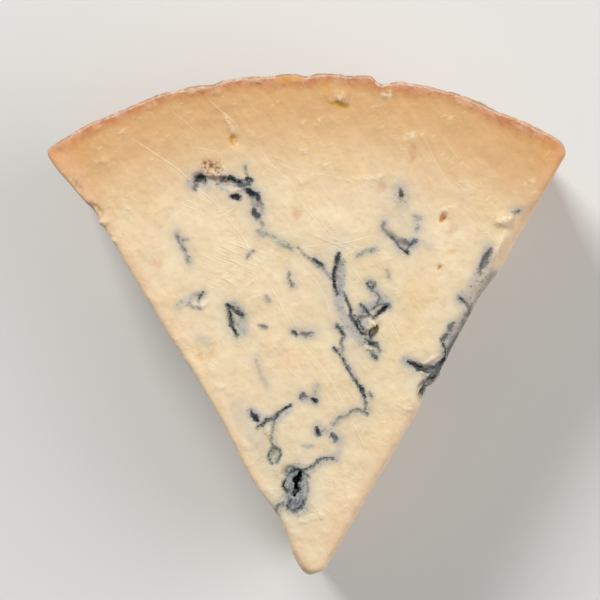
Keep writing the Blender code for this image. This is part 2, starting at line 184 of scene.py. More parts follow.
# %% [markdown]
# ## Veins of mould on the top face
#
# The blue is mould that grew wherever air reached: along the seams between the curds, and
# down the holes made with needles. Each vein is a path with a width, the darkness of its
# mould, how far the colour bleeds into the paste and how deep it reaches. Path, width and
# bleed are in pixels, and the reach is in millimetres. A painted image would be quicker, but it
# would blur close up and belong to one size only.

# %% Paths of the veins
Vein = namedtuple("Vein", "name width ink bleed reach path")

TOP_VEINS = (
    Vein("crumble left", 5, 0.85, 7, 3, ((195, 181), (200, 178), (205, 180))),
    Vein("crumble left dark", 4, 1.0, 3, 3, ((200, 177), (204, 178))),
    Vein("crumble left foot", 3, 0.6, 5, 3, ((196, 184), (194, 189))),
    Vein("crumble join", 2.2, 0.5, 4, 3, ((206, 177), (212, 177), (217, 180))),
    Vein("crumble stroke", 3, 0.85, 5, 3, ((217, 183), (221, 180), (225, 178))),
    Vein("crumble band", 5, 0.85, 6, 3, ((226, 182), (230, 179), (235, 182))),
    Vein("crumble bar", 5, 1.0, 5, 3, ((236, 182), (243, 185), (249, 184))),
    Vein("crumble ring", 3, 0.85, 4, 3, ((249, 183), (251, 180), (248, 178), (247, 181))),
    Vein("crumble horn", 1.6, 0.5, 5, 3, ((248, 177), (246, 172), (245, 166))),
    Vein("crumble elbow", 5, 0.9, 6, 3, ((246, 189), (251, 193), (258, 196), (259, 200))),
    Vein("crumble leg", 6, 0.75, 6, 3, ((257, 202), (256, 207), (255, 212), (258, 215))),
    Vein("crumble toe", 1.8, 0.5, 5, 3, ((258, 217), (260, 220), (263, 225))),
    Vein("crumble dot", 5, 0.9, 5, 3, ((232, 196), (237, 197))),
    Vein("faint patch", 4, 0.45, 6, 3, ((258, 231), (262, 235))),
    Vein("grey streak", 1.5, 0.3, 6, 3, ((262, 232), (275, 238), (290, 246))),
    Vein("grey streak end", 2.5, 0.4, 6, 3, ((279, 243), (292, 248))),
    Vein("diagonal seam", 1.4, 0.55, 3, 3, ((298, 247), (304, 254), (311, 259))),
    Vein("diagonal knot", 4.5, 0.85, 5, 3, ((314, 260), (318, 262), (321, 265))),
    Vein("diagonal end", 1.6, 0.5, 5, 3, ((322, 267), (327, 273), (333, 280))),
    Vein("left fleck", 1.8, 0.55, 6, 3, ((176, 234), (179, 241), (184, 250), (189, 262))),
    Vein("left fleck arm", 1.4, 0.4, 4, 3, ((179, 241), (187, 239))),
    Vein("short dash", 1.7, 0.5, 3, 3, ((247, 258), (250, 254), (254, 251))),
    Vein("left smudge slit", 1.5, 0.75, 4, 3, ((198, 302), (200, 297), (203, 293))),
    Vein("left smudge foot", 1.6, 0.5, 4, 3, ((189, 303), (193, 306), (200, 308))),
    Vein("tick arm", 4, 1.0, 5, 3, ((226, 305), (232, 309), (242, 315))),
    Vein("tick leg", 2.6, 0.95, 6, 3, ((228, 309), (230, 318), (233, 328), (237, 336))),
    Vein("small spot one", 2.6, 0.45, 4, 3, ((265, 296), (269, 300))),
    Vein("small spot two", 2.2, 0.65, 3, 3, ((260, 325), (266, 328))),
    Vein("low blur", 1.6, 0.3, 6, 3, ((256, 360), (260, 371), (267, 386))),
    Vein("centre seam head", 4, 1.0, 4, 3, ((340, 254), (338, 258), (337, 263))),
    Vein("centre seam", 2.6, 1.0, 4, 3, ((337, 263), (335, 271), (334, 280), (335, 287), (337, 294))),
    Vein("heart lead", 2, 0.75, 4, 3, ((344, 293), (347, 301), (350, 308), (351, 315))),
    Vein("heart lead dark", 3.6, 0.95, 5, 3, ((351, 315), (354, 321), (358, 327), (362, 334))),
    Vein("heart lead twin", 2, 0.8, 4, 3, ((357, 319), (360, 324), (364, 329), (366, 335))),
    Vein(
        "ring spot", 1.9, 0.95, 5, 3,
        ((367, 284), (370, 281), (374, 283), (373, 287), (369, 287), (368, 284)),
    ),
    Vein("ring tail", 1.8, 0.6, 5, 3, ((374, 290), (380, 297), (377, 303))),
    Vein("heart twig one", 1.6, 0.85, 3, 3, ((361, 304), (366, 310), (370, 315))),
    Vein("heart twig two", 1.6, 0.7, 3, 3, ((354, 315), (363, 317), (371, 315))),
    Vein("heart edge", 1.5, 0.7, 3, 3, ((372, 310), (379, 305), (388, 304))),
    Vein("heart slit", 3.2, 1.0, 2, 7, ((389, 305), (382, 311), (374, 317))),
    Vein("heart mouth", 3.5, 1.0, 3, 7, ((373, 327), (370, 333), (372, 340))),
    Vein("heart foot", 4, 0.85, 5, 5, ((367, 340), (372, 344), (376, 344))),
    Vein("heart tail", 2, 0.8, 5, 3, ((376, 344), (380, 351))),
    Vein("heart drop", 3.5, 0.75, 5, 3, ((372, 353), (377, 358))),
    Vein("upper smudge", 2, 0.35, 5, 3, ((357, 255), (361, 254))),
    Vein("upper smudge bar", 2.4, 0.4, 5, 3, ((363, 252), (374, 249))),
    Vein("upper fleck", 2, 0.35, 5, 3, ((387, 270), (389, 277))),
    Vein("hook head", 2.6, 0.85, 5, 3, ((336, 325), (341, 331), (345, 335))),
    Vein("hook", 1.7, 0.55, 4, 3, ((344, 336), (341, 341), (342, 350))),
    Vein(
        "long seam", 1.8, 0.8, 4, 3,
        ((334, 348), (339, 354), (344, 361), (348, 369), (353, 377), (359, 386)),
    ),
    Vein("long seam knot", 3.5, 1.0, 4, 3, ((359, 386), (362, 390), (364, 397))),
    Vein("long seam tail", 1.8, 0.6, 6, 3, ((364, 397), (366, 405), (364, 412))),
    Vein("long seam specks", 3, 0.6, 4, 3, ((369, 393), (372, 396))),
    Vein("low bar", 2.2, 0.65, 5, 3, ((350, 411), (357, 409), (362, 411), (367, 414))),
    Vein("low bar twig", 1.8, 0.5, 5, 3, ((335, 423), (341, 417), (348, 415))),
    Vein("slit", 1.8, 0.65, 4, 3, ((289, 272), (290, 280), (292, 286))),
    Vein("middle spot", 3.8, 0.9, 5, 3, ((293, 331), (297, 334))),
    Vein("middle spot tail", 3, 0.6, 8, 3, ((302, 332), (306, 335), (311, 333))),
    Vein("low left slit", 4.2, 0.95, 5, 3, ((252, 411), (254, 416), (257, 421))),
    Vein("low left hole", 4.4, 1.0, 3, 6, ((264, 424), (267, 421), (271, 419))),
    Vein("low left crack", 2, 0.95, 3, 4, ((257, 427), (262, 424))),
    Vein("low left hook", 2.6, 0.95, 4, 3, ((273, 421), (276, 417), (280, 412), (286, 408), (291, 405))),
    Vein("low left thread", 1.2, 0.6, 3, 3, ((274, 423), (272, 431), (271, 439), (273, 446))),
    Vein("pocket left", 1.6, 0.7, 3, 3, ((273, 447), (270, 452), (269, 458), (272, 463))),
    Vein("pocket right", 1.5, 0.65, 3, 3, ((276, 447), (280, 450), (280, 456), (276, 462))),
    Vein("twin spot", 3.4, 0.6, 5, 3, ((301, 398), (304, 394), (307, 396))),
    Vein("twin spot dark", 4.2, 1.0, 4, 3, ((312, 399), (315, 401))),
    Vein("twin blur", 2, 0.3, 5, 3, ((314, 391), (317, 385))),
    Vein("pair left", 3.8, 0.85, 5, 3, ((317, 428), (319, 433))),
    Vein("pair right", 4.6, 1.0, 5, 3, ((332, 435), (336, 439))),
    Vein("low faint", 2.4, 0.35, 5, 3, ((303, 446), (312, 446))),
    Vein("thread to the point", 1.7, 0.7, 5, 3, ((333, 458), (326, 458), (318, 461), (313, 466), (304, 470))),
    Vein("point rim top", 2.8, 0.9, 5, 4, ((288, 473), (294, 470), (301, 471))),
    Vein(
        "point rim left", 2.6, 0.9, 4, 5,
        ((288, 474), (285, 481), (284, 487), (288, 492), (291, 499), (287, 506)),
    ),
    Vein("point rim right", 1.5, 0.5, 4, 5, ((305, 478), (308, 486), (307, 494), (303, 503))),
    Vein("point rim foot", 2.2, 0.8, 4, 5, ((287, 507), (294, 510), (300, 507), (304, 501))),
    Vein("point hole", 8.5, 1.0, 3, 30, ((300, 474), (299, 482), (298, 491))),
    Vein("point hole side", 5, 1.0, 3, 30, ((301, 477), (301, 484), (300, 490))),
    Vein("point floor", 6, 0.55, 3, 30, ((298, 492), (297, 497), (296, 502))),
    Vein("point dash", 3, 1.0, 3, 6, ((289, 491), (294, 495))),
    Vein("point ring", 3, 0.5, 4, 3, ((306, 475), (308, 477))),
    Vein("to the left wall", 2.4, 0.5, 6, 7, ((289, 503), (283, 503), (277, 507), (274, 514), (275, 521))),
    Vein("edge lip blue", 3.6, 0.8, 7, 3, ((408, 361), (414, 365), (420, 369))),
    Vein("edge lip dark", 4, 1.0, 4, 5, ((420, 368), (427, 371), (433, 368))),
    Vein("edge wall dark", 10, 1.0, 5, 9, ((447, 359), (440, 368), (434, 377), (430, 386))),
    Vein("edge hole", 9, 1.0, 4, 11, ((424, 383), (426, 391), (429, 397))),
    Vein("edge wall grey", 5, 0.5, 7, 7, ((449, 356), (442, 367), (436, 377))),
    Vein("edge seam head", 3.2, 0.8, 6, 5, ((459, 298), (464, 301), (468, 305))),
    Vein("edge seam blue", 3.5, 0.6, 8, 6, ((468, 304), (470, 310), (467, 316))),
    Vein("edge seam knot", 2.6, 0.65, 5, 5, ((454, 323), (450, 327), (450, 331))),
    Vein("edge seam foot", 2.4, 0.65, 5, 5, ((449, 331), (446, 336), (442, 341))),
    Vein("edge seam thread", 1.8, 0.95, 4, 6, ((442, 341), (445, 347), (446, 353), (445, 360))),
    Vein("edge strip top", 4, 0.4, 6, 5, ((487, 290), (481, 299), (476, 304))),
    Vein("edge strip middle", 3, 0.45, 5, 8, ((470, 316), (465, 322), (460, 331))),
    Vein("edge strip foot", 5, 0.6, 5, 10, ((459, 335), (454, 343), (449, 353))),
    Vein("edge nick", 3, 0.85, 4, 8, ((489, 289), (484, 297))),
    Vein("right streak", 3.4, 0.6, 6, 4, ((491, 249), (487, 256), (484, 263), (480, 272))),
    Vein("fork head", 2.6, 0.5, 7, 3, ((384, 223), (383, 228), (387, 233))),
    Vein("fork stem", 2.6, 0.65, 5, 3, ((388, 234), (394, 240), (399, 245))),
    Vein("fork nick", 3, 1.0, 4, 4, ((400, 247), (404, 250), (407, 252))),
    Vein("fork arm", 1.8, 0.7, 5, 3, ((407, 250), (411, 244), (416, 240))),
    Vein("fork blur", 2.5, 0.4, 7, 3, ((416, 230), (419, 227))),
    Vein("high spot", 4, 0.8, 9, 3, ((400, 191), (401, 195))),
    Vein("high blur", 2.6, 0.4, 6, 3, ((415, 216), (420, 218))),
    Vein("corner speck", 2, 0.7, 7, 3, ((513, 212), (519, 211))),
)
print("veins on the top face:", len(TOP_VEINS))

# %% [markdown]
# Beside the dark veins lie soft bodies of lavender grey, where the mould only stained the
# curd. They are wider and have no edge, so they are kept as strokes of their own.

# %% Soft grey stains on the top face
Stain = namedtuple("Stain", "name width strength path")

TOP_STAINS = (
    Stain("crumble left", 12, 0.6, ((191, 184), (199, 180), (207, 184))),
    Stain("crumble band", 13, 0.65, ((222, 184), (236, 186), (248, 188), (256, 200), (258, 212))),
    Stain("crumble trail", 9, 0.4, ((260, 218), (264, 232), (278, 240), (292, 247))),
    Stain("diagonal", 7, 0.45, ((314, 260), (324, 270), (333, 282))),
    Stain("centre body", 7, 0.85, ((342, 262), (342, 272), (341, 282), (339, 292))),
    Stain("centre band", 10, 0.7, ((339, 294), (339, 305), (344, 317), (352, 330), (362, 341))),
    Stain("heart", 15, 0.85, ((365, 312), (376, 308), (384, 304))),
    Stain("heart foot", 11, 0.7, ((360, 322), (366, 332), (370, 342), (374, 354))),
    Stain("ring", 12, 0.55, ((370, 284), (376, 293))),
    Stain("upper smudge", 7, 0.55, ((358, 256), (368, 251), (376, 249))),
    Stain("fork", 12, 0.75, ((399, 244), (407, 246), (413, 243))),
    Stain("fork head", 9, 0.45, ((384, 222), (386, 232), (394, 240))),
    Stain("fork tail", 6, 0.35, ((415, 240), (429, 246))),
    Stain("fork blur", 9, 0.4, ((417, 217), (418, 228))),
    Stain("high spot", 15, 0.45, ((400, 190), (402, 205))),
    Stain("hook", 8, 0.45, ((338, 326), (344, 338), (341, 352))),
    Stain("long seam", 7, 0.4, ((336, 350), (346, 362), (356, 380), (364, 396), (367, 412))),
    Stain("low bar", 9, 0.5, ((334, 424), (344, 415), (358, 411), (369, 408))),
    Stain("tick", 12, 0.75, ((234, 306), (240, 316), (243, 330))),
    Stain("left smudge", 9, 0.55, ((178, 306), (187, 301), (196, 296), (203, 294))),
    Stain("left fleck", 8, 0.5, ((177, 234), (184, 250), (190, 262))),
    Stain("left blur", 9, 0.35, ((199, 338), (208, 342))),
    Stain("middle spot", 9, 0.5, ((293, 331), (302, 334), (312, 334))),
    Stain("slit", 8, 0.35, ((290, 274), (294, 286))),
    Stain("twin", 10, 0.5, ((301, 397), (314, 400), (316, 388))),
    Stain("low left", 11, 0.6, ((252, 413), (262, 420), (272, 420), (266, 427))),
    Stain("low left hook", 8, 0.6, ((276, 420), (282, 415), (289, 410))),
    Stain("low left thread", 7, 0.4, ((275, 425), (275, 440), (276, 448))),
    Stain("pocket", 8, 0.75, ((275, 451), (275, 459))),
    Stain("pair", 12, 0.5, ((318, 430), (330, 434), (339, 440))),
    Stain("pair foot", 8, 0.4, ((338, 440), (339, 450), (333, 458))),
    Stain("thread", 8, 0.65, ((336, 458), (326, 460), (314, 467), (305, 474))),
    Stain("point", 20, 1.0, ((296, 474), (296, 490), (297, 505))),
    Stain("to the left wall", 14, 0.6, ((288, 500), (280, 506), (273, 516))),
    Stain("low haze", 16, 0.25, ((236, 408), (250, 430), (262, 452), (276, 470))),
    Stain("edge lip", 10, 0.7, ((406, 361), (416, 367), (428, 372))),
    Stain("edge wall", 13, 0.85, ((440, 366), (433, 378), (428, 390))),
    Stain("edge seam", 14, 0.65, ((462, 298), (470, 306), (466, 320), (456, 330), (449, 342), (446, 356))),
    Stain("edge strip", 13, 1.0, ((494, 276), (484, 296), (474, 312), (462, 331), (451, 350))),
    Stain("right streak", 12, 0.6, ((489, 250), (485, 262), (479, 276), (472, 290))),
    Stain("corner speck", 8, 0.45, ((514, 211), (520, 212))),
    Stain("green haze", 26, 0.14, ((385, 190), (398, 214), (404, 238))),
    Stain("middle haze", 24, 0.14, ((340, 240), (330, 270), (345, 320), (356, 352))),
)
print("stains on the top face:", len(TOP_STAINS))

# %% [markdown]
# ## Veins on the walls and the foot
#
# The photo looks straight down, so the cut walls and the foot aren't seen. They were cut
# through the same cheese and show the same mould. Here a seeded walk draws each vein: it
# keeps its heading, swings a little at each step, turns sharply where two curds met, and now
# and then throws a side branch. The seed makes the walk fall the same way at every run.

# %% Walk the hidden veins
WALK_STEP = 1.1
TURN_CHANCE = 0.2
FORK_CHANCE = 0.4
KNOT_CHANCE = 0.3
WALK_LENGTHS = (0.8, 0.8, 0.8, 1.6, 2.5, 4, 6, 9, 14)  # a third are mere specks
WALK_WIDTHS = (0.22, 0.3, 0.4, 0.55, 0.75, 1.0)
WALK_INKS = (0.35, 0.6, 0.85, 1.0)
WALK_REACH = 4.0
VEINS_FROM, VEINS_TO = 9.0, 84.0  # the stretch of a wall with veins, from the drum's axis


def walk(dice, start, heading, length, inside):
    """A wandering path of short steps from a start, which stops where its face ends."""
    path = [start]
    while length > 0:
        heading += dice.gauss(0, 0.32)
        if dice.random() < TURN_CHANCE:
            heading += dice.choice((-1, 1)) * dice.uniform(0.6, 1.4)
        last = path[-1]
        spot = (last[0] + WALK_STEP * math.cos(heading), last[1] + WALK_STEP * math.sin(heading))
        if len(path) > 1 and not inside(spot):
            break
        path.append(spot)
        length -= WALK_STEP
    return path


def hidden_veins(face, seed, number, inside):
    """Veins and stains in millimetres on one face, some with a branch or a dark knot."""
    dice = random.Random(seed)
    dark, soft = [], []
    while len(dark) < number:
        start = (dice.uniform(0, 100) if face != "foot" else dice.uniform(-50, 50), dice.uniform(0, 100))
        if not inside(start):
            continue
        heading = dice.gauss(1.1, 0.7)
        path = walk(dice, start, heading, dice.choice(WALK_LENGTHS), inside)
        width = dice.choice(WALK_WIDTHS)
        ink = dice.choice(WALK_INKS)
        bleed = dice.uniform(0.6, 1.4)
        dark.append((path, width, ink, bleed, WALK_REACH))
        soft.append((path, dice.uniform(1.2, 4.5), dice.uniform(0.1, 0.75), WALK_REACH))
        if dice.random() < FORK_CHANCE and len(path) > 4:
            fork = dice.choice(path[1:-1])
            side = heading + dice.choice((-1, 1)) * dice.uniform(0.7, 1.5)
            branch = walk(dice, fork, side, dice.uniform(2, 6), inside)
            dark.append((branch, width * 0.7, ink * 0.8, bleed, WALK_REACH))
        if dice.random() < KNOT_CHANCE:
            knot = walk(dice, path[len(path) // 2], heading, 1.5, inside)
            dark.append((knot, width * 2.2, 1.0, bleed, WALK_REACH + 1))
    return dark, soft


def on_wall(spot):
    """True well inside a cut wall, clear of the paste near the rind."""
    return VEINS_FROM < spot[0] < VEINS_TO and 1.5 < spot[1] < HEIGHT - 6


def on_foot(spot):
    """True well inside the foot."""
    run = math.hypot(*spot)
    return 16 < run < VEINS_TO and abs(math.atan2(spot[0], spot[1])) < HALF_ANGLE - 3.0 / run


# %% [markdown]
# Where the model has open cracks and holes in its cut walls, mould lines them too. These few
# are in millimetres, with the way along the wall first and the height second. Then every vein
# and stain is brought to millimetres, and kept by the face that it starts from.

# %% Veins and stains of every face
TOP_STAIN_REACH = 4.5
WALL_VEINS = {
    "right": (
        Vein("notch crack", 1.3, 1.0, 2.0, 5, ((44.5, 39), (46.5, 34), (49.5, 30), (49, 25))),
        Vein("low crack", 1.1, 0.95, 1.6, 4, ((30, 20), (34, 17), (38.5, 16.5), (41.5, 13))),
        Vein("high crack", 1.0, 0.9, 1.6, 4, ((66, 37), (70, 34), (75, 34.5), (79, 30))),
        Vein("round hole", 2.6, 0.8, 2.0, 5, ((59.5, 23.5), (62.5, 24.6))),
        Vein("small hole", 1.6, 0.9, 1.5, 4, ((72.4, 12.0), (73.8, 13.2))),
    ),
    "left": (
        Vein("low crack", 1.2, 0.95, 1.8, 4, ((49, 12), (54, 15), (59, 14.5), (63.5, 18.5))),
        Vein("high crack", 1.2, 1.0, 1.8, 4, ((65, 36), (68, 31.5), (67, 27.5), (70.5, 24))),
        Vein("point crack", 0.9, 0.9, 1.4, 4, ((17, 31), (21, 28), (23, 24))),
        Vein("round hole", 2.6, 0.85, 2.0, 5, ((34, 27), (36, 25))),
        Vein("small hole", 1.5, 0.9, 1.5, 4, ((21.8, 11.2), (22.2, 13))),
    ),
}
HIDDEN_FACES = (("right", 21, 92, on_wall), ("left", 34, 92, on_wall), ("foot", 5, 110, on_foot))
veins = {"top": []}
stains = {"top": []}
for vein in TOP_VEINS:
    path = [place_of(pixel) for pixel in vein.path]
    veins["top"].append((path, vein.width / PHOTO_SCALE, vein.ink, vein.bleed / PHOTO_SCALE, vein.reach))
for stain in TOP_STAINS:
    path = [place_of(pixel) for pixel in stain.path]
    stains["top"].append((path, stain.width / PHOTO_SCALE, stain.strength, TOP_STAIN_REACH))
for face, seed, number, inside in HIDDEN_FACES:
    veins[face], stains[face] = hidden_veins(face, seed, number, inside)
    for vein in WALL_VEINS.get(face, ()):
        veins[face].append((vein.path, vein.width, vein.ink, vein.bleed, vein.reach))
        stains[face].append((vein.path, 2.5 * vein.width, 0.7, vein.reach))
print("veins drawn:", {face: len(found) for face, found in veins.items()})

# %% [markdown]
# ## From paths to fields
#
# A vein is stored on the skin as a distance: how far inside its edge a point lies. Distances
# change evenly, so a mesh carries them well, and the material can later cut them off sharply
# and fray the cut with fine noise. Colour stored straight on the points would look blurred.

# %% Helpers that measure a path
FAR = 9.0  # beyond this a vein has no say


def curve_through(corners, step):
    """Points a step apart, at most, along a smooth curve through the corners."""
    spots = [Vector(corner) for corner in corners]
    spots = [spots[0] * 2 - spots[1], *spots, spots[-1] * 2 - spots[-2]]
    curve = []
    for a, b, c, d in zip(spots, spots[1:], spots[2:], spots[3:]):
        number = max(1, round((c - b).length / step))
        for i in range(number):
            t = i / number
            bend = (2 * a - 5 * b + 4 * c - d) * t**2 + (3 * b - a - 3 * c + d) * t**3
            curve.append((2 * b + (c - a) * t + bend) / 2)
    return [*curve, spots[-2]]


def ragged(path, width, seed):
    """The path in short steps that wander a little, with a half width at each step."""
    curve = curve_through(path, 0.6)
    steps, halves = [], []
    for i, spot in enumerate(curve):
        wild = Vector((spot.x * 0.9, spot.y * 0.9, seed * 3.7))
        sway = min(0.28, width * 0.4)
        across = sway * noise.noise(wild + Vector((0, 0, 9)))
        steps.append((spot.x + sway * noise.noise(wild), spot.y + across))
        swell = 0.55 + 0.45 * math.sqrt(math.sin(math.pi * i / len(curve)) if i else 0.0)
        halves.append(width / 2 * swell * (1 + 0.7 * noise.noise(wild * 1.3 + Vector((0, 0, 21)))))
    return steps, halves


def inside_path(u, v, steps, halves):
    """Distance inside the path's edge, negative outside it."""
    best = np.full(len(u), -FAR)
    for (ax, ay), (bx, by), wide, wide_next in zip(steps, steps[1:], halves, halves[1:]):
        dx, dy = bx - ax, by - ay
        share = np.clip(((u - ax) * dx + (v - ay) * dy) / max(dx * dx + dy * dy, 1e-9), 0, 1)
        away = np.hypot(u - ax - share * dx, v - ay - share * dy)
        best = np.maximum(best, wide + (wide_next - wide) * share - away)
    return best


def near_path(map_of_face, steps, margin, reach):
    """Numbers of the points near a path and near its face."""
    u, v, depth = map_of_face
    low, high = np.min(steps, axis=0) - margin, np.max(steps, axis=0) + margin
    return np.flatnonzero((depth < reach) & (u > low[0]) & (u < high[0]) & (v > low[1]) & (v < high[1]))


def measure_veins(maps, faces, margin):
    """Distance inside the nearest vein, its ink, and the stain and cool tint around it.

    Below its face a vein wanders aside and ends at an uneven depth.
    """
    count = len(maps["top"][0])
    edge, ink_of = np.full(count, -FAR), np.zeros(count)
    haze, cool = np.zeros(count), np.zeros(count)
    aside, onward, down = (soft_noise(2.6, seed) for seed in (15, 16, 17))
    for face in faces:
        u, v, depth = maps[face]
        below = ramp(depth, 0.4, 3.0)
        u, v = u + 1.5 * aside * below, v + 1.5 * onward * below
        depth = depth + 4.0 * down * below
        for number, (path, width, ink, bleed, reach) in enumerate(veins[face]):
            steps, halves = ragged(path, width, number)
            near = near_path((u, v, depth), steps, margin, reach)
            if len(near) == 0:
                continue
            fade = ramp(depth[near], 0.2 * reach, reach)
            inside = inside_path(u[near], v[near], steps, halves) - (width + 0.3) * fade
            stronger = inside > edge[near]
            edge[near] = np.where(stronger, inside, edge[near])
            ink_of[near] = np.where(stronger, ink, ink_of[near])
            outside = np.maximum(0, -inside)
            strength = math.sqrt(ink)
            glow = 0.5 * strength * (1 - fade) * np.exp(-((outside / bleed) ** 2))
            haze[near] = np.maximum(haze[near], glow)
            spread = (1 - fade) * np.exp(-((outside / 4.0) ** 2))
            cool[near] += 0.4 * strength * min(1.5, len(steps) / 8) * spread
    return edge, ink_of, haze, cool


def measure_stains(maps, faces, haze, cool):
    """Adds the soft stains to the haze and the cool tint. They end at an uneven depth."""
    uneven = 3.0 * soft_noise(3.0, 13) + 1.2 * soft_noise(1.0, 14)
    for face in faces:
        u, v, depth = maps[face]
        depth = np.maximum(0, depth + uneven * ramp(depth, 0.5, 2.5))
        for path, width, strength, reach in stains[face]:
            steps = [tuple(spot) for spot in curve_through(path, 1.2)]
            near = near_path(maps[face], steps, 2 * width + 4, reach)
            if len(near) == 0:
                continue
            outside = np.maximum(0, -inside_path(u[near], v[near], steps, [0.22 * width] * len(steps)))
            keep = strength * (1 - ramp(depth[near], 0.25 * reach, reach))
            soft = keep * np.exp(-((outside / (0.42 * width)) ** 2))
            haze[near] = np.maximum(haze[near], soft) + 0.25 * np.minimum(haze[near], soft)
            cool[near] += 0.3 * keep * np.exp(-((outside / (0.8 * width + 1)) ** 2))


ALL_FACES = ("top", "right", "left", "foot")
BESIDE_VEIN = -0.7
coarse_edge = measure_veins(maps, ALL_FACES, 1.5)[0]
beside = coarse_edge > BESIDE_VEIN
print("points beside a vein:", int(beside.sum()))

# %% [markdown]
# Veins are thinner than the skin's squares, so only the squares beside a vein are split in
# four. Splitting all of them would make the mesh four times as heavy for nothing.

# %% Split the squares beside the veins
sharp_work = bmesh.new()
sharp_work.from_mesh(skin)
sharp_work.verts.ensure_lookup_table()
split = [edge for edge in sharp_work.edges if beside[edge.verts[0].index] and beside[edge.verts[1].index]]
bmesh.ops.subdivide_edges(sharp_work, edges=split, cuts=1, use_grid_fill=True)
sharp_work.to_mesh(skin)
sharp_work.free()
skin.update()

points = read_points(skin)
count = len(points)
maps = face_maps(points)
facing = np.empty(count * 3)
skin.vertex_normals.foreach_get("vector", facing)
facing = facing.reshape(-1, 3)
z = points[:, 2]
bearing = np.arctan2(points[:, 0], points[:, 1])
radius = np.hypot(points[:, 0], points[:, 1])
vein_edge, vein_ink, haze, cool = measure_veins(maps, ALL_FACES, FAR)
measure_stains(maps, ALL_FACES, haze, cool)
haze = np.clip(haze, 0, 1)
cool = 1 - np.exp(-cool)
print("skin points:", count, "share inside a vein:", round(float((vein_edge > 0).mean()), 4))

# %% [markdown]
# ## Knife marks
#
# The knife that cut the wedge left long shallow arcs across the top, and shorter scratches
# beside them. A mark is stored as a signed distance, so that the material can raise one side
# of it and sink the other.

# %% Knife marks as signed distances
Mark = namedtuple("Mark", "name strength path")

MARKS = (
    Mark(
        "long arc upper", 1.0,
        ((132, 138), (158, 155), (181, 171), (199, 189), (214, 201), (226, 216), (246, 241), (256, 263)),
    ),
    Mark(
        "long arc lower", 0.8,
        ((256, 263), (270, 285), (285, 312), (300, 341), (318, 362), (332, 381), (352, 420), (373, 464)),
    ),
    Mark(
        "second arc", 0.65,
        ((256, 145), (275, 167), (293, 184), (300, 200), (323, 229), (355, 271), (392, 324), (403, 353)),
    ),
    Mark("right scratch", 0.4, ((422, 134), (432, 153), (442, 172), (459, 195))),
    Mark("left rim scratch", 0.7, ((172, 111), (185, 121), (199, 134))),
    Mark("rim scratch long", 0.9, ((207, 98), (222, 111), (237, 124), (240, 133))),
    Mark("crumble scratch", 0.8, ((192, 147), (207, 149), (222, 153))),
    Mark("upper dash", 0.6, ((250, 142), (261, 136), (273, 132))),
    Mark("left dash", 0.6, ((162, 226), (178, 212), (194, 198))),
    Mark("below crumble", 0.6, ((207, 222), (228, 212), (246, 199))),
    Mark("upper right line", 0.6, ((294, 168), (312, 173), (332, 176), (350, 181))),
    Mark("grey streak line", 0.8, ((222, 238), (240, 246), (262, 254))),
    Mark("left middle line", 0.7, ((206, 254), (228, 262), (246, 268))),
    Mark("seam line", 0.8, ((300, 248), (316, 245), (338, 243), (352, 241), (377, 234))),
    Mark("left lower line", 0.7, ((208, 270), (222, 276), (246, 292))),
    Mark("tick line", 0.8, ((228, 300), (244, 288), (262, 272))),
    Mark("heart line", 0.5, ((352, 318), (380, 352), (404, 360))),
    Mark("point line right", 0.5, ((316, 474), (340, 480), (356, 486))),
    Mark("point line left", 0.7, ((296, 520), (312, 514), (326, 511))),
    Mark("far right scratch", 0.3, ((440, 130), (452, 150), (468, 170))),
    Mark("left corner scratch", 0.6, ((118, 158), (126, 168), (130, 180))),
    Mark("cross line upper", 0.6, ((212, 232), (230, 238), (246, 250))),
    Mark("cross line lower", 0.6, ((216, 284), (230, 270), (252, 256))),
    Mark("centre line", 0.5, ((302, 262), (322, 290), (330, 312))),
    Mark("low middle line", 0.5, ((270, 346), (292, 372), (306, 384))),
)
MARK_REACH = 1.2
mark_side = np.full(count, MARK_REACH)
mark_depth = np.zeros(count)
u, v, depth = maps["top"]
for mark in MARKS:
    steps = [tuple(spot) for spot in curve_through([place_of(pixel) for pixel in mark.path], 1.5)]
    near = near_path(maps["top"], steps, MARK_REACH, 2.0)
    for i, ((ax, ay), (bx, by)) in enumerate(zip(steps, steps[1:])):
        dx, dy = bx - ax, by - ay
        length = math.hypot(dx, dy)
        share = ((u[near] - ax) * dx + (v[near] - ay) * dy) / length**2
        side = ((u[near] - ax) * dy - (v[near] - ay) * dx) / length
        close = (share > -0.05) & (share < 1.05) & (np.abs(side) < np.abs(mark_side[near]))
        mark_side[near[close]] = side[close]
        mark_depth[near[close]] = mark.strength * min(1.0, (i + 1) / 3, (len(steps) - 1 - i) / 3)
print("points beside a knife mark:", int((np.abs(mark_side) < 0.4).sum()))

# %% [markdown]
# ## Blemishes
#
# Small marks tell real paste from plastic: pits with an amber or pink lining where the curd
# was loose, and pale lumps or flakes that the knife lifted. A few pale marks are painted
# highlights on lit lips and ridges, and one is painted light on the shaded floor of a pit.
# One brown mark is painted shade in a dent, and one ochre mark a painted shadow under a raised
# flake. Each is a soft ellipse with a frayed edge, in one of four tints. It rises or sinks a
# little, and may crumble.

# %% Blemishes on the top face
Spot = namedtuple("Spot", "tint strength rise loose pixel along across turn")

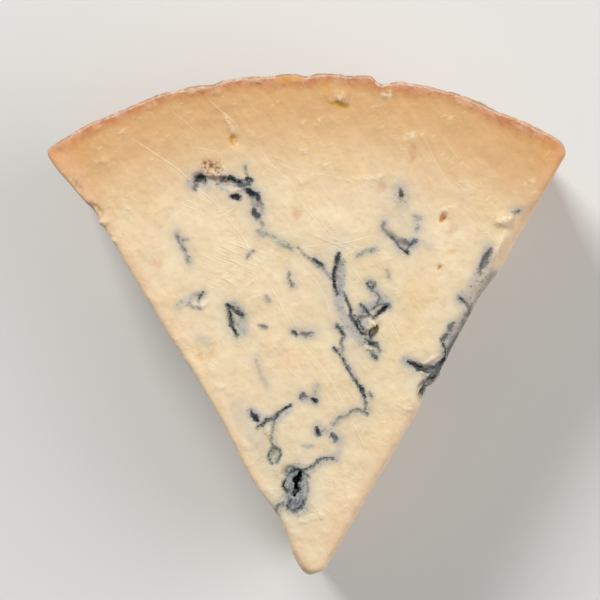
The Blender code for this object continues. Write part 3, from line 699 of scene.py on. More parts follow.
SPOTS = (
    Spot("blush", 0.75, -0.12, 0.2, (412, 153), 9, 4, 80),
    Spot("blush", 0.6, -0.15, 0.2, (381, 188), 6, 4.5, 80),
    Spot("blush", 0.4, 0.0, 0.1, (156, 263), 7, 3.5, -15),
    Spot("blush", 0.5, -0.08, 0.1, (297, 214), 6, 4, 60),
    Spot("blush", 0.5, -0.2, 0.2, (230, 131), 4, 3, 0),
    Spot("blush", 0.35, 0.0, 0.2, (444, 303), 8, 3, 75),
    Spot("blush", 0.4, 0.0, 0.2, (453, 228), 8, 4, 60),
    Spot("earth", 0.9, 0.12, 2.2, (207, 166), 6, 6, 40),
    Spot("earth", 0.7, 0.12, 2.2, (216, 169), 8, 8, 20),
    Spot("earth", 1.0, -0.1, 1.4, (223, 180), 7, 3.2, -30),
    Spot("earth", 0.9, 0.0, 1.8, (212, 175), 9, 4.5, -20),
    Spot("pale", 0.4, 0.15, 1.8, (219, 170), 7, 6, -30),
    Spot("pale", 0.6, 0.12, 1.2, (232, 190), 9, 3, -30),
    # Painted shade: this brown mark darkens the dent in the left edge.
    Spot("earth", 0.5, -0.6, 0.2, (96, 210), 9, 4, -50),
    Spot("earth", 0.3, -0.3, 0.3, (78, 186), 6, 3, -45),
    Spot("amber", 0.9, -0.25, 0.2, (233, 141), 6, 2.6, -65),
    Spot("amber", 0.7, -0.15, 0.2, (443, 217), 6, 2.6, 62),
    Spot("amber", 0.35, -0.15, 0.1, (440, 269), 3.5, 2, 80),
    Spot("amber", 0.35, -0.15, 0.1, (440, 275), 3, 2, 80),
    Spot("amber", 0.5, -0.25, 0.9, (199, 358), 5, 2.6, -40),
    Spot("amber", 0.25, 0.0, 0.1, (210, 356), 5, 2.6, 10),
    Spot("amber", 0.9, -0.05, 0.6, (325, 87), 10, 3, -85),
    # Painted shadow: this ochre mark lies under the raised flake near the rind.
    Spot("amber", 0.95, -0.35, 0.3, (340, 106), 10, 3.4, -12),
    Spot("amber", 0.9, 0.1, 2.4, (290, 78), 13, 5, 5),
    Spot("pale", 0.6, 0.2, 2.0, (201, 89), 14, 3.5, 20),
    # Painted light: this pale mark lightens the shaded floor of the pit below the heart.
    Spot("pale", 0.6, 0.0, 0.2, (379, 330), 3, 4, 0),
    # Painted highlight: this pale mark is the glint inside the pocket.
    Spot("pale", 0.2, 0.0, 0.3, (275, 455), 3, 2, 60),
    # Painted highlight along the lit edge of the heart.
    Spot("pale", 0.8, 0.1, 0.6, (377, 309), 9, 2.2, 38),
    Spot("amber", 0.5, -0.1, 0.1, (451, 252), 5, 2.5, 10),
    Spot("amber", 0.4, 0.0, 0.0, (470, 340), 9, 4, 60),
    Spot("pale", 0.4, 0.12, 0.2, (341, 97), 7, 5, -40),
    Spot("pale", 0.8, 0.15, 1.5, (386, 95), 7, 5, 10),
    Spot("pale", 0.6, 0.2, 0.3, (237, 143), 5, 1.8, -55),
    Spot("pale", 0.6, 0.3, 0.8, (227, 120), 6, 3, -60),
    Spot("pale", 0.5, 0.2, 0.6, (232, 130), 5, 2.4, -60),
    Spot("pale", 0.5, 0.25, 0.4, (447, 211), 5, 2, 62),
    Spot("pale", 0.5, 0.1, 0.8, (409, 137), 7, 3.5, 30),
    Spot("pale", 0.4, 0.1, 0.6, (378, 177), 6, 3, 25),
    Spot("pale", 0.3, 0.08, 0.5, (365, 179), 8, 3, 5),
    Spot("pale", 0.5, 0.18, 0.4, (446, 209), 7, 2, 20),
    Spot("pale", 0.7, 0.35, 0.5, (504, 220), 8, 5, 20),
    # Painted highlight along the lit ridge of the right bevel.
    Spot("pale", 0.6, 0.3, 0.3, (499, 245), 14, 2.6, 62),
    Spot("pale", 1.0, 0.25, 0.8, (374, 322), 8, 4.5, 50),
    Spot("pale", 0.8, 0.15, 0.3, (369, 348), 5, 2, -20),
    # The next two pale marks are a painted highlight on the lit lip above the edge notch and a painted glint
    # in the notch.
    Spot("pale", 0.8, 0.15, 0.2, (430, 360), 9, 2, 32),
    Spot("pale", 0.8, 0.1, 0.3, (426, 374), 5, 2, -30),
    Spot("pale", 0.6, 0.1, 0.6, (237, 190), 5, 2.5, 0),
    Spot("pale", 0.5, 0.12, 1.2, (268, 432), 6, 3, -70),
    Spot("pale", 0.22, 0.06, 1.5, (405, 406), 11, 7, -50),
    Spot("pale", 0.3, 0.12, 0.4, (312, 518), 14, 2.4, 15),
    Spot("pale", 0.5, 0.14, 0.5, (301, 513), 4, 3, 40),
    Spot("pale", 0.25, 0.1, 0.9, (468, 195), 5, 8, 0),
    Spot("pale", 0.4, 0.1, 0.8, (101, 161), 6, 3, 15),
    Spot("pale", 0.35, 0.1, 0.3, (124, 132), 3, 2.5, 0),
    Spot("pale", 0.35, 0.1, 0.5, (532, 183), 5, 3, 60),
    Spot("pale", 0.4, 0.1, 0.5, (303, 151), 4, 3, 0),
    Spot("pale", 0.35, 0.1, 0.6, (302, 123), 5, 2, 30),
    Spot("pale", 0.35, 0.1, 0.6, (318, 122), 6, 2, 50),
    Spot("pale", 0.6, 0.5, 0.4, (104, 222), 4, 3, -50),
    Spot("pale", 0.3, 0.1, 0.6, (110, 243), 6, 3, 30),
    Spot("pale", 0.35, 0.12, 0.8, (219, 386), 5, 3, 10),
    Spot("pale", 0.35, 0.12, 0.6, (245, 445), 6, 3, -50),
    Spot("pale", 0.5, 0.12, 0.4, (271, 493), 5, 2.4, -60),
    Spot("pale", 0.3, 0.1, 0.6, (212, 370), 7, 3, -60),
    Spot("pale", 0.6, 0.15, 0.6, (204, 305), 5, 2.4, 40),
    Spot("pale", 0.2, 0.1, 0.8, (250, 132), 9, 3, -50),
    Spot("pale", 0.25, 0.08, 0.6, (300, 182), 7, 2.4, -45),
    Spot("pale", 0.5, 0.15, 1.4, (256, 80), 8, 3, 8),
    Spot("pale", 0.5, 0.15, 1.2, (216, 92), 7, 2.4, 15),
    Spot("pale", 0.4, 0.1, 1.2, (152, 106), 9, 2.4, 25),
    Spot("pale", 0.4, 0.1, 1.2, (97, 128), 6, 3, 35),
    Spot("pale", 0.4, 0.1, 1.2, (466, 104), 9, 2.4, -22),
    Spot("pale", 0.4, 0.1, 1.2, (517, 126), 8, 2.4, -32),
)


def ellipse(mark):
    """Distance from the middle of a mark on the top face: 0 there, 1 on its outline."""
    middle_u, middle_v = place_of(mark.pixel)
    turn = math.radians(mark.turn)
    du, dv = u - middle_u, v - middle_v
    along = (du * math.cos(turn) + dv * math.sin(turn)) * PHOTO_SCALE / mark.along
    across = (dv * math.cos(turn) - du * math.sin(turn)) * PHOTO_SCALE / mark.across
    return np.hypot(along, across)


tints = {tint: np.zeros(count) for tint in ("blush", "amber", "pale", "earth")}
spot_rise = np.zeros(count)
loose = np.zeros(count)
fray = 0.5 * soft_noise(1.3, 3) + 0.35 * soft_noise(0.6, 4)
for spot in SPOTS:
    shape = ramp(1.4 - ellipse(spot) + fray, 0, 0.8) * (1 - ramp(depth, 1.0, 4.0))
    tints[spot.tint] = np.maximum(tints[spot.tint], spot.strength * shape)
    spot_rise += spot.rise * shape
    loose = np.maximum(loose, spot.loose * shape)
print("blemishes:", len(SPOTS))

# %% [markdown]
# Where the knife dragged over drier paste it left patches of fine parallel scratches.

# %% Scraped patches on the top face
Scrape = namedtuple("Scrape", "name strength pixel along across turn")

SCRAPES = (
    Scrape("left of centre", 0.9, (236, 262), 26, 40, -70),
    Scrape("beside the seam", 0.6, (335, 243), 44, 8, -12),
    Scrape("upper right", 0.5, (365, 180), 28, 9, 5),
    Scrape("left flank", 0.6, (190, 205), 16, 22, -60),
    Scrape("upper middle", 0.5, (275, 168), 24, 14, -45),
    Scrape("low right", 0.5, (405, 408), 14, 20, 20),
    Scrape("right flank", 0.5, (468, 192), 14, 20, 10),
    Scrape("near the point", 0.6, (315, 516), 20, 8, 20),
    Scrape("left edge", 0.5, (115, 240), 10, 22, -60),
    Scrape("point band", 0.4, (340, 480), 26, 9, 15),
)
scraped = np.zeros(count)
for scrape in SCRAPES:
    patch_shape = ramp(1.1 - ellipse(scrape) + 0.4 * fray, 0, 0.7) * (depth < 2)
    scraped = np.maximum(scraped, scrape.strength * patch_shape)
print("points in scraped patches:", int((scraped > 0.2).sum()))

# %% [markdown]
# Some holes are lined with mould that grew into a crumbly fur. Inside them the paste is gone,
# and grey lumps sit between black gaps.

# %% Linings of the open holes
Lining = namedtuple("Lining", "name amount pixel reach deep")

LININGS = (
    Lining("point cavity", 1.0, (298, 488), 3.8, 9.0),
    Lining("low left hole", 0.8, (267, 422), 1.2, 3.0),
    Lining("edge notch", 0.45, (431, 382), 2.8, 12.0),
    Lining("heart foot", 0.5, (370, 340), 1.2, 6.0),
)
lining = np.zeros(count)
for fur in LININGS:
    middle = place_of(fur.pixel)
    away = np.hypot(u - middle[0], v - middle[1]) / fur.reach
    open_wall = ramp(depth, 0.25, 0.9) * (1 - ramp(depth, 0.7 * fur.deep, fur.deep))
    lining = np.maximum(lining, fur.amount * (1 - ramp(away + 0.2 * fray, 0.75, 1.05)) * open_wall)
print("points lined with mould:", int((lining > 0.5).sum()))

# %% [markdown]
# ## The rind
#
# The rind dries to a crust: a millimetre or two thick, wrinkled, pocked with pinholes and
# dusted with white bloom. Its outer radius is measured from the skin itself, for each bearing
# and height, because the crust isn't a true circle. Pinholes are seeded dimples.

# %% Depth below the crust, and its pinholes
BEARING_BINS = 160
HEIGHT_BINS = 16
PINHOLES = 330
PINHOLE_SIZES = (0.35, 0.5, 0.7, 1.0)


def slots(share, bins):
    """The number of the bin that each share, from 0 to 1, falls in."""
    return np.clip((share * (bins - 1)).round().astype(int), 0, bins - 1)


slot_across = slots((bearing / HALF_ANGLE + 1) / 2, BEARING_BINS)
slot_up = slots(z / HEIGHT, HEIGHT_BINS)
outermost = np.zeros((BEARING_BINS, HEIGHT_BINS))
np.maximum.at(outermost, (slot_across, slot_up), radius)
outward = facing[:, 0] * np.sin(bearing) + facing[:, 1] * np.cos(bearing)
on_rind = ramp(outward, 0.15, 0.6) * ramp(radius, 93, 97)
rind_depth = (outermost[slot_across, slot_up] - radius) * (1 - on_rind)

pin = np.zeros(count)
dice = random.Random(8)
outer = np.flatnonzero(rind_depth < 0.5)
along_rind, up_rind, _ = maps["rind"]
for _ in range(PINHOLES):
    middle_u, middle_v = dice.uniform(-54, 54), dice.uniform(1, 45)
    size = dice.choice(PINHOLE_SIZES)
    away = np.hypot(along_rind[outer] - middle_u, up_rind[outer] - middle_v) / size
    pin[outer] = np.maximum(pin[outer], ramp(1.3 - away, 0, 0.9) * min(1.0, size + 0.3))
print("rind points:", len(outer))

# %% [markdown]
# ## Relief
#
# All the heights are added up and each point moves along its own normal. The paste only
# waves softly, veins sink where the mould has eaten the paste, crumbs stand up where it fell
# apart, and the crust is lumpy with deep creases. Near the top rim the crust is kept calm,
# because the knife trimmed it there. Beside the point the left wall swells a little below its
# top edge, as on the real wedge.

# %% Move the skin
mouldy = np.exp(-((np.maximum(0, -vein_edge) / 0.5) ** 2)) * vein_ink
sunk = ramp(vein_edge, -0.2, 0.25) * vein_ink
paste_waves = 0.22 * soft_noise(8, 1) + 0.08 * soft_noise(2.6, 2)
drag = 0.04 * soft_noise(1.2, 5, stretch=(6, 6, 0.8))
crumbs = 0.22 * soft_noise(1.0, 6) + 0.14 * soft_noise(0.55, 7)
lining_lumps = 0.55 + 0.9 * soft_noise(1.8, 11) + 0.35 * soft_noise(0.8, 12)
paste_relief = paste_waves + drag + crumbs * np.maximum(0.6 * mouldy, loose)
paste_relief += spot_rise + lining * lining_lumps - 0.15 * sunk
crease = -0.55 * ramp(1 - np.abs(soft_noise(4.5, 8, stretch=(1, 1, 0.7))), 0.86, 1.0)
tip = 1 - ramp(radius, 8.0, 11.0)
tip *= ramp(0.25 - facing[:, 0], 0.0, 0.6)
paste_relief += 0.45 * tip * ramp(HEIGHT - z, 1.0, 1.9) * ramp(z, 26, 36)
calm = 0.3 + 0.7 * ramp(HEIGHT - z, 0.4, 3.5)
crust_relief = (0.30 * soft_noise(3.0, 9) + 0.22 * soft_noise(1.1, 10) + crease - 0.6 * pin) * calm
height = ((1 - on_rind) * paste_relief + on_rind * crust_relief) * ramp(z, 0.0, 0.6)
moved = points + facing * height[:, None]
moved[:, 2] = np.maximum(moved[:, 2], np.minimum(z, 0.0))
skin.vertices.foreach_set("co", ((moved + DRUM_AXIS) * MM).ravel())
skin.update()
print("relief, millimetres:", round(float(height.min()), 2), "to", round(float(height.max()), 2))

# %% [markdown]
# The fields go onto the mesh as named attributes, which the material reads back by name.

# %% Store the fields on the skin
fields = {
    "vein_edge": vein_edge,
    "vein_ink": vein_ink,
    "haze": haze,
    "cool": cool,
    "mark_side": mark_side,
    "mark_depth": mark_depth,
    **tints,
    "scraped": scraped,
    "lining": lining,
    "rind_depth": rind_depth,
    "crust": on_rind,
    "pin": pin,
    "wall_depth": np.minimum(maps["right"][2], maps["left"][2]),
}
for name, values in fields.items():
    skin.attributes.new(name, "FLOAT", "POINT").data.foreach_set("value", values.astype(np.float32))
skin.shade_smooth()
print("fields stored:", len(fields))

# %% [markdown]
# ## The cheese's finish
#
# One material covers the piece, as on the real thing, and the fields decide what shows where.
# Shader arithmetic reads best as plain expressions, so a small class wraps a node's output
# and turns each operator into a Math node.

# %% A class for shader expressions
class Field:
    """One output of a shader node, which takes part in Python expressions."""

    def __init__(self, socket):
        self.socket = socket

    def node(self, kind, settings, values, output=0):
        """Adds a node: its settings first, then its sockets' values or links."""
        tree = self.socket.id_data
        made = tree.nodes.new(kind)
        for name, value in settings.items():
            setattr(made, name, value)
        for name, value in values.items():
            if isinstance(value, Field):
                tree.links.new(value.socket, made.inputs[name])
            else:
                made.inputs[name].default_value = value
        return Field(made.outputs[output])

    def math(self, operation, first, second=0.0):
        """A Math node on two values."""
        return self.node("ShaderNodeMath", {"operation": operation}, {0: first, 1: second})

    def __add__(self, other):
        return self.math("ADD", self, other)

    def __radd__(self, other):
        return self.math("ADD", other, self)

    def __sub__(self, other):
        return self.math("SUBTRACT", self, other)

    def __rsub__(self, other):
        return self.math("SUBTRACT", other, self)

    def __mul__(self, other):
        return self.math("MULTIPLY", self, other)

    def __rmul__(self, other):
        return self.math("MULTIPLY", other, self)

    def __abs__(self):
        return self.math("ABSOLUTE", self)

    def step(self, low, high):
        """0 below low, 1 above high, smooth between."""
        settings = {"interpolation_type": "SMOOTHSTEP"}
        return self.node("ShaderNodeMapRange", settings, {"Value": self, "From Min": low, "From Max": high})

    def over(self, under, top):
        """The colour top laid over under, with this field as its mask."""
        colours = {"Factor": self, 6: under, 7: top}
        return self.node("ShaderNodeMix", {"data_type": "RGBA", "clamp_factor": True}, colours, 2)


def tone(red, green, blue):
    """A display colour, 0 to 255, as the light it stands for."""
    light = [(c / 255 / 12.92) if c < 11 else ((c / 255 + 0.055) / 1.055) ** 2.4 for c in (red, green, blue)]
    return (*light, 1.0)


finish = bpy.data.materials.new("blue_cheese")
finish.use_nodes = True
tree = finish.node_tree
shader = tree.nodes["Principled BSDF"]
print("cream as light:", [round(c, 3) for c in tone(236, 213, 176)])

# %% [markdown]
# Coordinates come in millimetres, so that every noise below is set by the size of the lump
# that it makes. The grain of the paste is a soft mottle, and a drag pattern stretched along
# the cut.

# %% Coordinates, noises and stored fields
start = Field(tree.nodes.new("ShaderNodeTexCoord").outputs["Object"])
spot_mm = start.node("ShaderNodeVectorMath", {"operation": "SCALE"}, {0: start, "Scale": 1 / MM})


def lumps(size, detail=2.0, roughness=0.5, where=spot_mm):
    """Noise around 0.5 with lumps of a size in millimetres."""
    values = {"Vector": where, "Scale": 1 / size, "Detail": detail, "Roughness": roughness}
    return start.node("ShaderNodeTexNoise", {}, values)


def cells(size, where=spot_mm):
    """Distance from the nearest of scattered points a size in millimetres apart."""
    return start.node("ShaderNodeTexVoronoi", {}, {"Vector": where, "Scale": 1 / size})


def stored(name):
    """A field stored on the skin."""
    return start.node("ShaderNodeAttribute", {"attribute_name": name}, {}, "Fac")


def stretched(degrees, shares):
    """The coordinates turned about the upright axis and squeezed along each direction."""
    turn = {"Vector": spot_mm, "Angle": math.radians(degrees)}
    turned = start.node("ShaderNodeVectorRotate", {"rotation_type": "Z_AXIS"}, turn)
    return start.node("ShaderNodeVectorMath", {"operation": "MULTIPLY"}, {0: turned, 1: shares})


grit = lumps(0.28, 2.0, 0.6)
fine = lumps(0.4, 3.0, 0.6)
small = lumps(0.8, 2.0)
grain = lumps(1.5, 3.0)
gaps = lumps(2.4, 2.0)
patch = lumps(7.0, 3.0)
broad = lumps(18.0, 2.0)
streak = lumps(1.3, 3.0, where=stretched(52, (0.09, 1.0, 1.0)))
scuff = lumps(1.1, 3.0, where=stretched(-25, (0.5, 1.0, 1.0))).step(0.60, 0.72)
print("nodes so far:", len(tree.nodes))

# %% [markdown]
# The paste is palest cream at the heart. It darkens to tan under the rind, where it dries
# first, and near the cut edges. Around the veins it turns cooler, with a faint green-grey.

# %% Colour of the paste
CREAM = tone(233, 210, 174)
BUTTER = tone(231, 204, 158)
TAN = tone(212, 166, 112)
ORANGE = tone(224, 156, 88)
PINK = tone(222, 178, 146)
COOL_CREAM = tone(218, 208, 180)
BLOTCH_TAN = tone(226, 196, 158)
BLOTCH_PALE = tone(240, 224, 194)
GRAIN_PALE = tone(248, 232, 203)
GRAIN_TAN = tone(204, 176, 134)
SCUFF_AND_GLINT = tone(250, 234, 206)
SCRATCH = tone(252, 238, 210)
RIDGE_HIGHLIGHT = tone(252, 236, 206)

depth_in = stored("rind_depth")
wall_in = stored("wall_depth")
colour = (patch * 0.6 + broad * 0.6).step(0.5, 0.82).over(CREAM, BUTTER)
blotch = lumps(5.0, 3.0)
colour = (blotch.step(0.5, 0.68) * 0.4).over(colour, BLOTCH_TAN)
colour = ((1 - blotch.step(0.34, 0.46)) * 0.4).over(colour, BLOTCH_PALE)
tan_zone = 1 - (depth_in + (patch - 0.5) * 7 + (broad - 0.5) * 7).step(3.0, 27.0)
colour = tan_zone.over(colour, TAN)
rise = start.node("ShaderNodeSeparateXYZ", {}, {"Vector": spot_mm}, 2)
near_top = rise.step(HEIGHT - 7, HEIGHT - 1)
corner = (1 - wall_in.step(0.0, 9.0)) * (1 - (depth_in + (grain - 0.5) * 4).step(1.0, 10.0))
corner = corner * (near_top * 0.7 + 0.3)
colour = (corner * 0.8).over(colour, ORANGE)
dry_edge = 1 - (wall_in + (patch - 0.5) * 3).step(0.2, 4.0)
colour = (dry_edge * 0.4).over(colour, PINK)
colour = (stored("cool") * (1 - tan_zone * 0.7) * 0.6).over(colour, COOL_CREAM)
mottle = (grain * 0.5 + streak * 0.5).step(0.35, 0.7)
colour = (mottle * 0.2 * (1 - tan_zone * 0.6)).over(colour, GRAIN_PALE)
colour = ((1 - grain.step(0.32, 0.5)) * 0.14).over(colour, GRAIN_TAN)
# Pale scuffs, which are partly painted glints.
colour = (scuff * patch.step(0.45, 0.6) * 0.3).over(colour, SCUFF_AND_GLINT)
scratches = lumps(0.5, 2.0, where=stretched(24, (0.10, 1.0, 1.0))).step(0.5, 0.68) * stored("scraped")
colour = (scratches * 0.4).over(colour, SCRATCH)
side = stored("mark_side")
ridge = 1 - abs(side - 0.1).step(0.0, 0.22)
# Paler paste along each knife ridge, partly a painted highlight.
colour = (ridge * stored("mark_depth") * 0.4).over(colour, RIDGE_HIGHLIGHT)
print("nodes so far:", len(tree.nodes))

# %% [markdown]
# The blemishes come next, each with its own tint. The crumbly earth breaks into brown gaps and
# pale crumbs. Pale flakes, and the painted highlights and painted light among the pale marks,
# are frayed by a small noise, which also lifts them further on.

# %% Colour of the blemishes
BLUSH = tone(208, 152, 118)
AMBER = tone(220, 166, 86)
EARTH_GAP = tone(160, 114, 74)
EARTH_CRUMB = tone(228, 196, 156)
FLAKE_AND_HIGHLIGHT = tone(248, 234, 208)

colour = (stored("blush") * (0.3 + small * 0.8)).over(colour, BLUSH)
# Amber lines the pits, and at one mark it is the painted shadow under a raised flake.
colour = (stored("amber") * 0.9).over(colour, AMBER)
# Earth is crumbly brown paste, and at one mark it is the painted shade in the dent of the left edge.
earth = small.step(0.40, 0.58).over(EARTH_GAP, EARTH_CRUMB)
colour = (stored("earth") * 1.1).over(colour, earth)
# Pale flakes and lumps, together with the painted highlights and the painted light in a pit that some pale
# marks stand for.
colour = (stored("pale") * small.step(0.35, 0.6) * 0.8).over(colour, FLAKE_AND_HIGHLIGHT)
print("nodes so far:", len(tree.nodes))

# %% [markdown]
# The mould has three coats, from the outside in: a lavender-grey stain that fades into the
# paste, slate grey at the vein's frayed edge, and near-black cores. Loose specks lie in the
# stain.

# %% Stain and slate around the veins
LAVENDER = tone(170, 167, 171)
SAGE = tone(168, 171, 158)
DEEP_STAIN = tone(136, 139, 144)
DRY_STAIN = tone(168, 159, 149)
SLATE = tone(112, 118, 124)
GREEN_SLATE = tone(116, 122, 112)
SPECK = tone(84, 90, 92)

edge = stored("vein_edge")
ink = stored("vein_ink")
haze_here = stored("haze") * (0.35 + grain * 0.7 + small * 0.4) * (1 - stored("pale") * 0.8)
stain = patch.step(0.46, 0.66).over(LAVENDER, SAGE)
stain = (stored("haze").step(0.88, 1.0) * 0.8).over(stain, DEEP_STAIN)
stain = dry_edge.over(stain, DRY_STAIN)
colour = (haze_here * 1.05).over(colour, stain)
slate_zone = (edge + (fine - 0.5) * 0.4 + (small - 0.5) * 0.75).step(-0.46, 0.12) * ink.step(0.0, 0.9)
slate = gaps.step(0.44, 0.58).over(SLATE, GREEN_SLATE)
colour = (slate_zone * 0.72).over(colour, slate)
specks = (fine * 0.5 + small * 0.5).step(0.57, 0.65) * haze_here.step(0.25, 0.65)
colour = (specks * 0.55).over(colour, SPECK)
print("nodes so far:", len(tree.nodes))

# %% [markdown]
# The cores are broken by grey grains of fur. In the lined holes pale lumps stand between dark
# gaps, with painted shade that makes the lumps darker deeper down, and the darkest holes have
# middles painted almost black, for dark mould and painted shade.

# %% Black cores, fur and lined holes
BLACK_MOULD = tone(26, 31, 36)
FUR = tone(122, 129, 134)
LINING_GAP = tone(38, 43, 47)
LINING_LUMP = tone(174, 180, 183)
HOLE_MOULD_AND_SHADE = tone(18, 20, 22)

solid_part = gaps.step(0.36, 0.52) * 0.45 + 0.55
core_edge = edge + (fine - 0.5) * 0.7 + (grit - 0.5) * 0.4 + (small - 0.5) * 0.45
core = core_edge.step(-0.06, 0.14) * ink.step(0.3, 0.9) * solid_part
colour = (core * 0.95).over(colour, BLACK_MOULD)
inner = stored("lining")
hole = (edge - 0.25).step(-0.1, 0.2) * inner * ink.step(0.9, 1.0)
fur = (edge + 0.3).step(0.0, 0.5) * (grit * 0.4 + small * 0.6).step(0.49, 0.60) * (1 - hole)
colour = (fur * 0.5).over(colour, FUR)
# Painted shade: lumps are paler near the top face and darker deeper in the hole.
shallow = rise.step(HEIGHT - 2.6, HEIGHT - 0.6)
fur_lumps = (small * 0.6 + fine * 0.5 + grit * 0.3 - cells(1.4) * 0.4 + shallow * 0.2).step(0.34, 0.60)
colour = (inner * 0.9).over(colour, fur_lumps.over(LINING_GAP, LINING_LUMP))
# Near-black middles of the darkest holes: dark mould and painted shade.
colour = (hole * 0.9).over(colour, HOLE_MOULD_AND_SHADE)
print("nodes so far:", len(tree.nodes))

# %% [markdown]
# Cut through, the crust shows as a thin band on the top and on the walls. It is pinkish at
# the outside and tan further in, with rusty and brown patches and a pale line along its rim,
# which is partly a painted highlight on the rim's edge.

# %% Colour of the crust where it is cut
CUT_PINK = tone(208, 156, 130)
CUT_TAN = tone(204, 142, 92)
CUT_RUST = tone(196, 118, 72)
CUT_BROWN = tone(168, 112, 84)
PALE_RIM_AND_HIGHLIGHT = tone(244, 218, 198)

outer_skin = stored("crust")
band = depth_in + (grain - 0.5) * 1.4 + (patch - 0.5) * 2.6
crust_mask = 1 - band.step(0.8, 3.7)
cut_crust = band.step(0.4, 2.2).over(CUT_PINK, CUT_TAN)
cut_crust = (lumps(3.5, 3.0).step(0.45, 0.60) * 0.8).over(cut_crust, CUT_RUST)
cut_crust = (lumps(1.2, 3.0).step(0.52, 0.64) * 0.5).over(cut_crust, CUT_BROWN)
# The pale rim line is pale crust and, in part, a painted highlight on the rim's edge.
rim_line = 1 - (depth_in + (fine - 0.5) * 0.8 + (grain - 0.5) * 0.8).step(0.25, 0.8)
cut_crust = (rim_line * 0.85).over(cut_crust, PALE_RIM_AND_HIGHLIGHT)
print("nodes so far:", len(tree.nodes))

# %% [markdown]
# The outer face is dry and wrinkled, dark in its pits and pinholes, and white where bloom has
# dusted it. At the corners, on amber and on the pale marks, flakes and painted highlights
# alike, the paste lies bare, with no crust.

# %% Colour of the crust's outer face
DRY_BROWN = tone(176, 140, 112)
DRY_TAN = tone(198, 164, 134)
DRY_OCHRE = tone(186, 146, 104)
DRY_GREY = tone(148, 128, 112)
PIT = tone(96, 66, 46)
PINHOLE = tone(92, 66, 50)
BLOOM = tone(228, 216, 200)

wrinkle = lumps(2.6, 4.0, 0.6, where=stretched(0, (0.7, 0.7, 1.3)))
dry_crust = wrinkle.step(0.38, 0.6).over(DRY_BROWN, DRY_TAN)
dry_crust = (lumps(11.0, 3.0).step(0.45, 0.62) * 0.55).over(dry_crust, DRY_OCHRE)
dry_crust = (lumps(6.0, 4.0).step(0.52, 0.7) * 0.6).over(dry_crust, DRY_GREY)
dark_pits = (1 - cells(1.9).step(0.08, 0.30)) * lumps(2.4).step(0.50, 0.62)
dry_crust = (dark_pits * 0.6).over(dry_crust, PIT)
dry_crust = (stored("pin") * 0.65).over(dry_crust, PINHOLE)
bloom = (lumps(1.0, 4.0, 0.7) * 0.6 + lumps(5.0, 2.0) * 0.4).step(0.5, 0.62)
dry_crust = (bloom * 0.75).over(dry_crust, BLOOM)
crust_colour = outer_skin.over(cut_crust, dry_crust)
bare = (corner * 0.6 + stored("amber") * 0.7 + stored("pale") * 0.7) * (1 - outer_skin)
colour = (crust_mask * (0.92 - bare)).over(colour, crust_colour)
tree.links.new(colour.socket, shader.inputs["Base Color"])
print("nodes so far:", len(tree.nodes))

# %% [markdown]
# The sheen follows the same fields: moist paste is satin, mould and crust are dull. The bump
# is in real millimetres, with knife marks as low ridges beside fine grooves.

# %% Sheen and fine relief
roughness = 0.5 + grain * 0.2 + (core + slate_zone) * 0.18 + crust_mask * 0.35 - scuff * 0.08
tree.links.new(start.math("MINIMUM", roughness, 0.95).socket, shader.inputs["Roughness"])

groove = 1 - abs(side + 0.14).step(0.0, 0.25)
marks = (ridge * 0.045 - groove * 0.015) * stored("mark_depth")
uneven = 0.25 + patch.step(0.40, 0.64) * 0.65
paste_height = (grain * 0.18 + small * 0.06 + streak * 0.18) * uneven + lumps(4.0, 2.0) * 0.48 + fine * 0.025
paste_height = paste_height + scuff * patch.step(0.45, 0.6) * 0.05
paste_height = paste_height + marks * 1.2 + scratches * 0.09 + stored("pale") * small * 0.35
mould_height = (fine * 0.2 + grit * 0.12) * slate_zone - core * 0.14 + fur_lumps * inner * 0.4
crust_height = lumps(1.3, 4.0, 0.6) * 0.45 + fine * 0.12 - dark_pits * 0.2
crust_height = crust_height * crust_mask * (0.4 + outer_skin * 0.6)
relief = paste_height + mould_height + crust_height
bump = start.node("ShaderNodeBump", {}, {"Height": relief, "Distance": MM, "Strength": 1.0}, "Normal")
tree.links.new(bump.socket, shader.inputs["Normal"])
shader.inputs["IOR"].default_value = 1.4
shader.inputs["Specular IOR Level"].default_value = 0.32
shader.inputs["Subsurface Weight"].default_value = 0.2
shader.inputs["Subsurface Radius"].default_value = (1.0, 0.6, 0.3)
shader.inputs["Subsurface Scale"].default_value = 1.2 * MM
print("nodes in the finish:", len(tree.nodes))

# %% [markdown]
# ## Put the piece in the frame
#
# The skin stands for the solid from the model, which is hidden, and rides on the root body,
# because the wedge has nothing that moves.

# %% The cheese piece
cheese = bpy.data.objects.new("cheese", skin)
bpy.context.scene.collection.objects.link(cheese)
cheese.data.materials.clear()
cheese.data.materials.append(finish)
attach(cheese, "root")
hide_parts("cheese_wedge")
print("faces:", len(skin.polygons))

# %% [markdown]
# ## Stage, light and camera
#
# The wedge rests on a plain pale floor, one square four metres wide, set a hair below the
# foot so that the two faces don't flicker through each other.

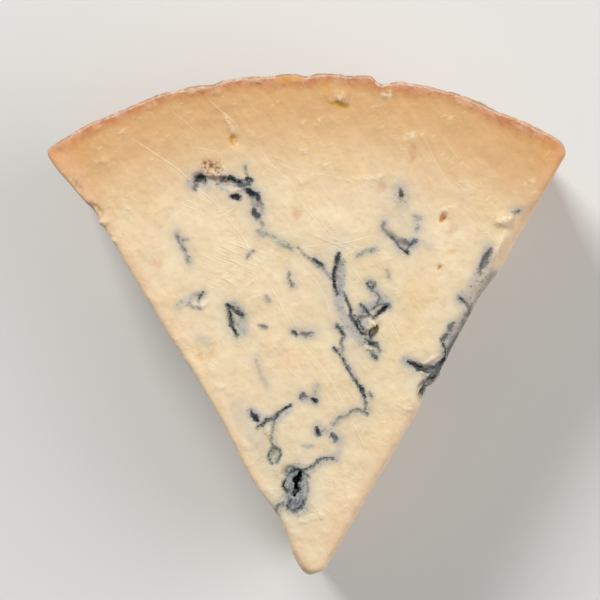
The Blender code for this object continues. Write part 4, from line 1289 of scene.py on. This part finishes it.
# %% Floor
FLOOR_HALF = 2.0
FLOOR_GAP = 0.0001  # metres, which keep the floor just below the foot
floor_mesh = bpy.data.meshes.new("floor")
square = [(-1, -1), (1, -1), (1, 1), (-1, 1)]
floor_mesh.from_pydata([(a * FLOOR_HALF, b * FLOOR_HALF, 0) for a, b in square], [], [(0, 1, 2, 3)])
floor = bpy.data.objects.new("floor", floor_mesh)
floor.location.z = -FLOOR_GAP
paper = bpy.data.materials.new("pale_floor")
paper.use_nodes = True
paper.node_tree.nodes["Principled BSDF"].inputs["Base Color"].default_value = (0.72, 0.72, 0.71, 1)
paper.node_tree.nodes["Principled BSDF"].inputs["Roughness"].default_value = 0.8
floor_mesh.materials.append(paper)
bpy.context.scene.collection.objects.link(floor)
print("floor at", floor.location.z)

# %% [markdown]
# A soft light comes from the upper left, as in the photo. A wide weaker one comes from the
# right, and a faint fill from all round. Area lights give shadows with soft edges.

# %% Lights
def soft_light(name, where, size, power, colour):
    """A square area light aimed at the wedge."""
    light = bpy.data.lights.new(name, "AREA")
    light.size = size
    light.energy = power
    light.color = colour
    lamp = bpy.data.objects.new(name, light)
    lamp.location = where
    lamp.rotation_euler = (Vector((0, 0, 0.03)) - Vector(where)).to_track_quat("-Z", "Y").to_euler()
    bpy.context.scene.collection.objects.link(lamp)
    return lamp


soft_light("window", (-0.48, 0.74, 0.80), 0.36, 10.2, (1.0, 0.99, 0.97))
soft_light("bounce", (0.8, 0.0, 0.6), 0.9, 5.4, (1.0, 0.98, 0.96))
sky = bpy.data.worlds.new("studio")
sky.use_nodes = True
sky.node_tree.nodes["Background"].inputs["Color"].default_value = (1.0, 1.0, 0.99, 1)
sky.node_tree.nodes["Background"].inputs["Strength"].default_value = 0.31
bpy.context.scene.world = sky
bpy.context.scene.view_settings.view_transform = "Standard"

# %% [markdown]
# The camera looks straight down from half a metre, at the place that the photo's middle
# shows. Its lens follows from the photo's scale, so that a pixel here is a pixel there.

# %% Camera
CAMERA_RISE = 450.0  # above the top face
PHOTO_WIDTH = 600.0
eye = bpy.data.cameras.new("overhead")
eye.sensor_width = 36.0
eye.lens = eye.sensor_width * CAMERA_RISE / (PHOTO_WIDTH / PHOTO_SCALE)
camera = bpy.data.objects.new("overhead", eye)
middle = place_of(PHOTO_MIDDLE)
camera.location = (np.array((*middle, HEIGHT + CAMERA_RISE)) + DRUM_AXIS) * MM
bpy.context.scene.collection.objects.link(camera)
bpy.context.scene.camera = camera
print("camera at", [round(c, 4) for c in camera.location], "lens", round(eye.lens, 1))
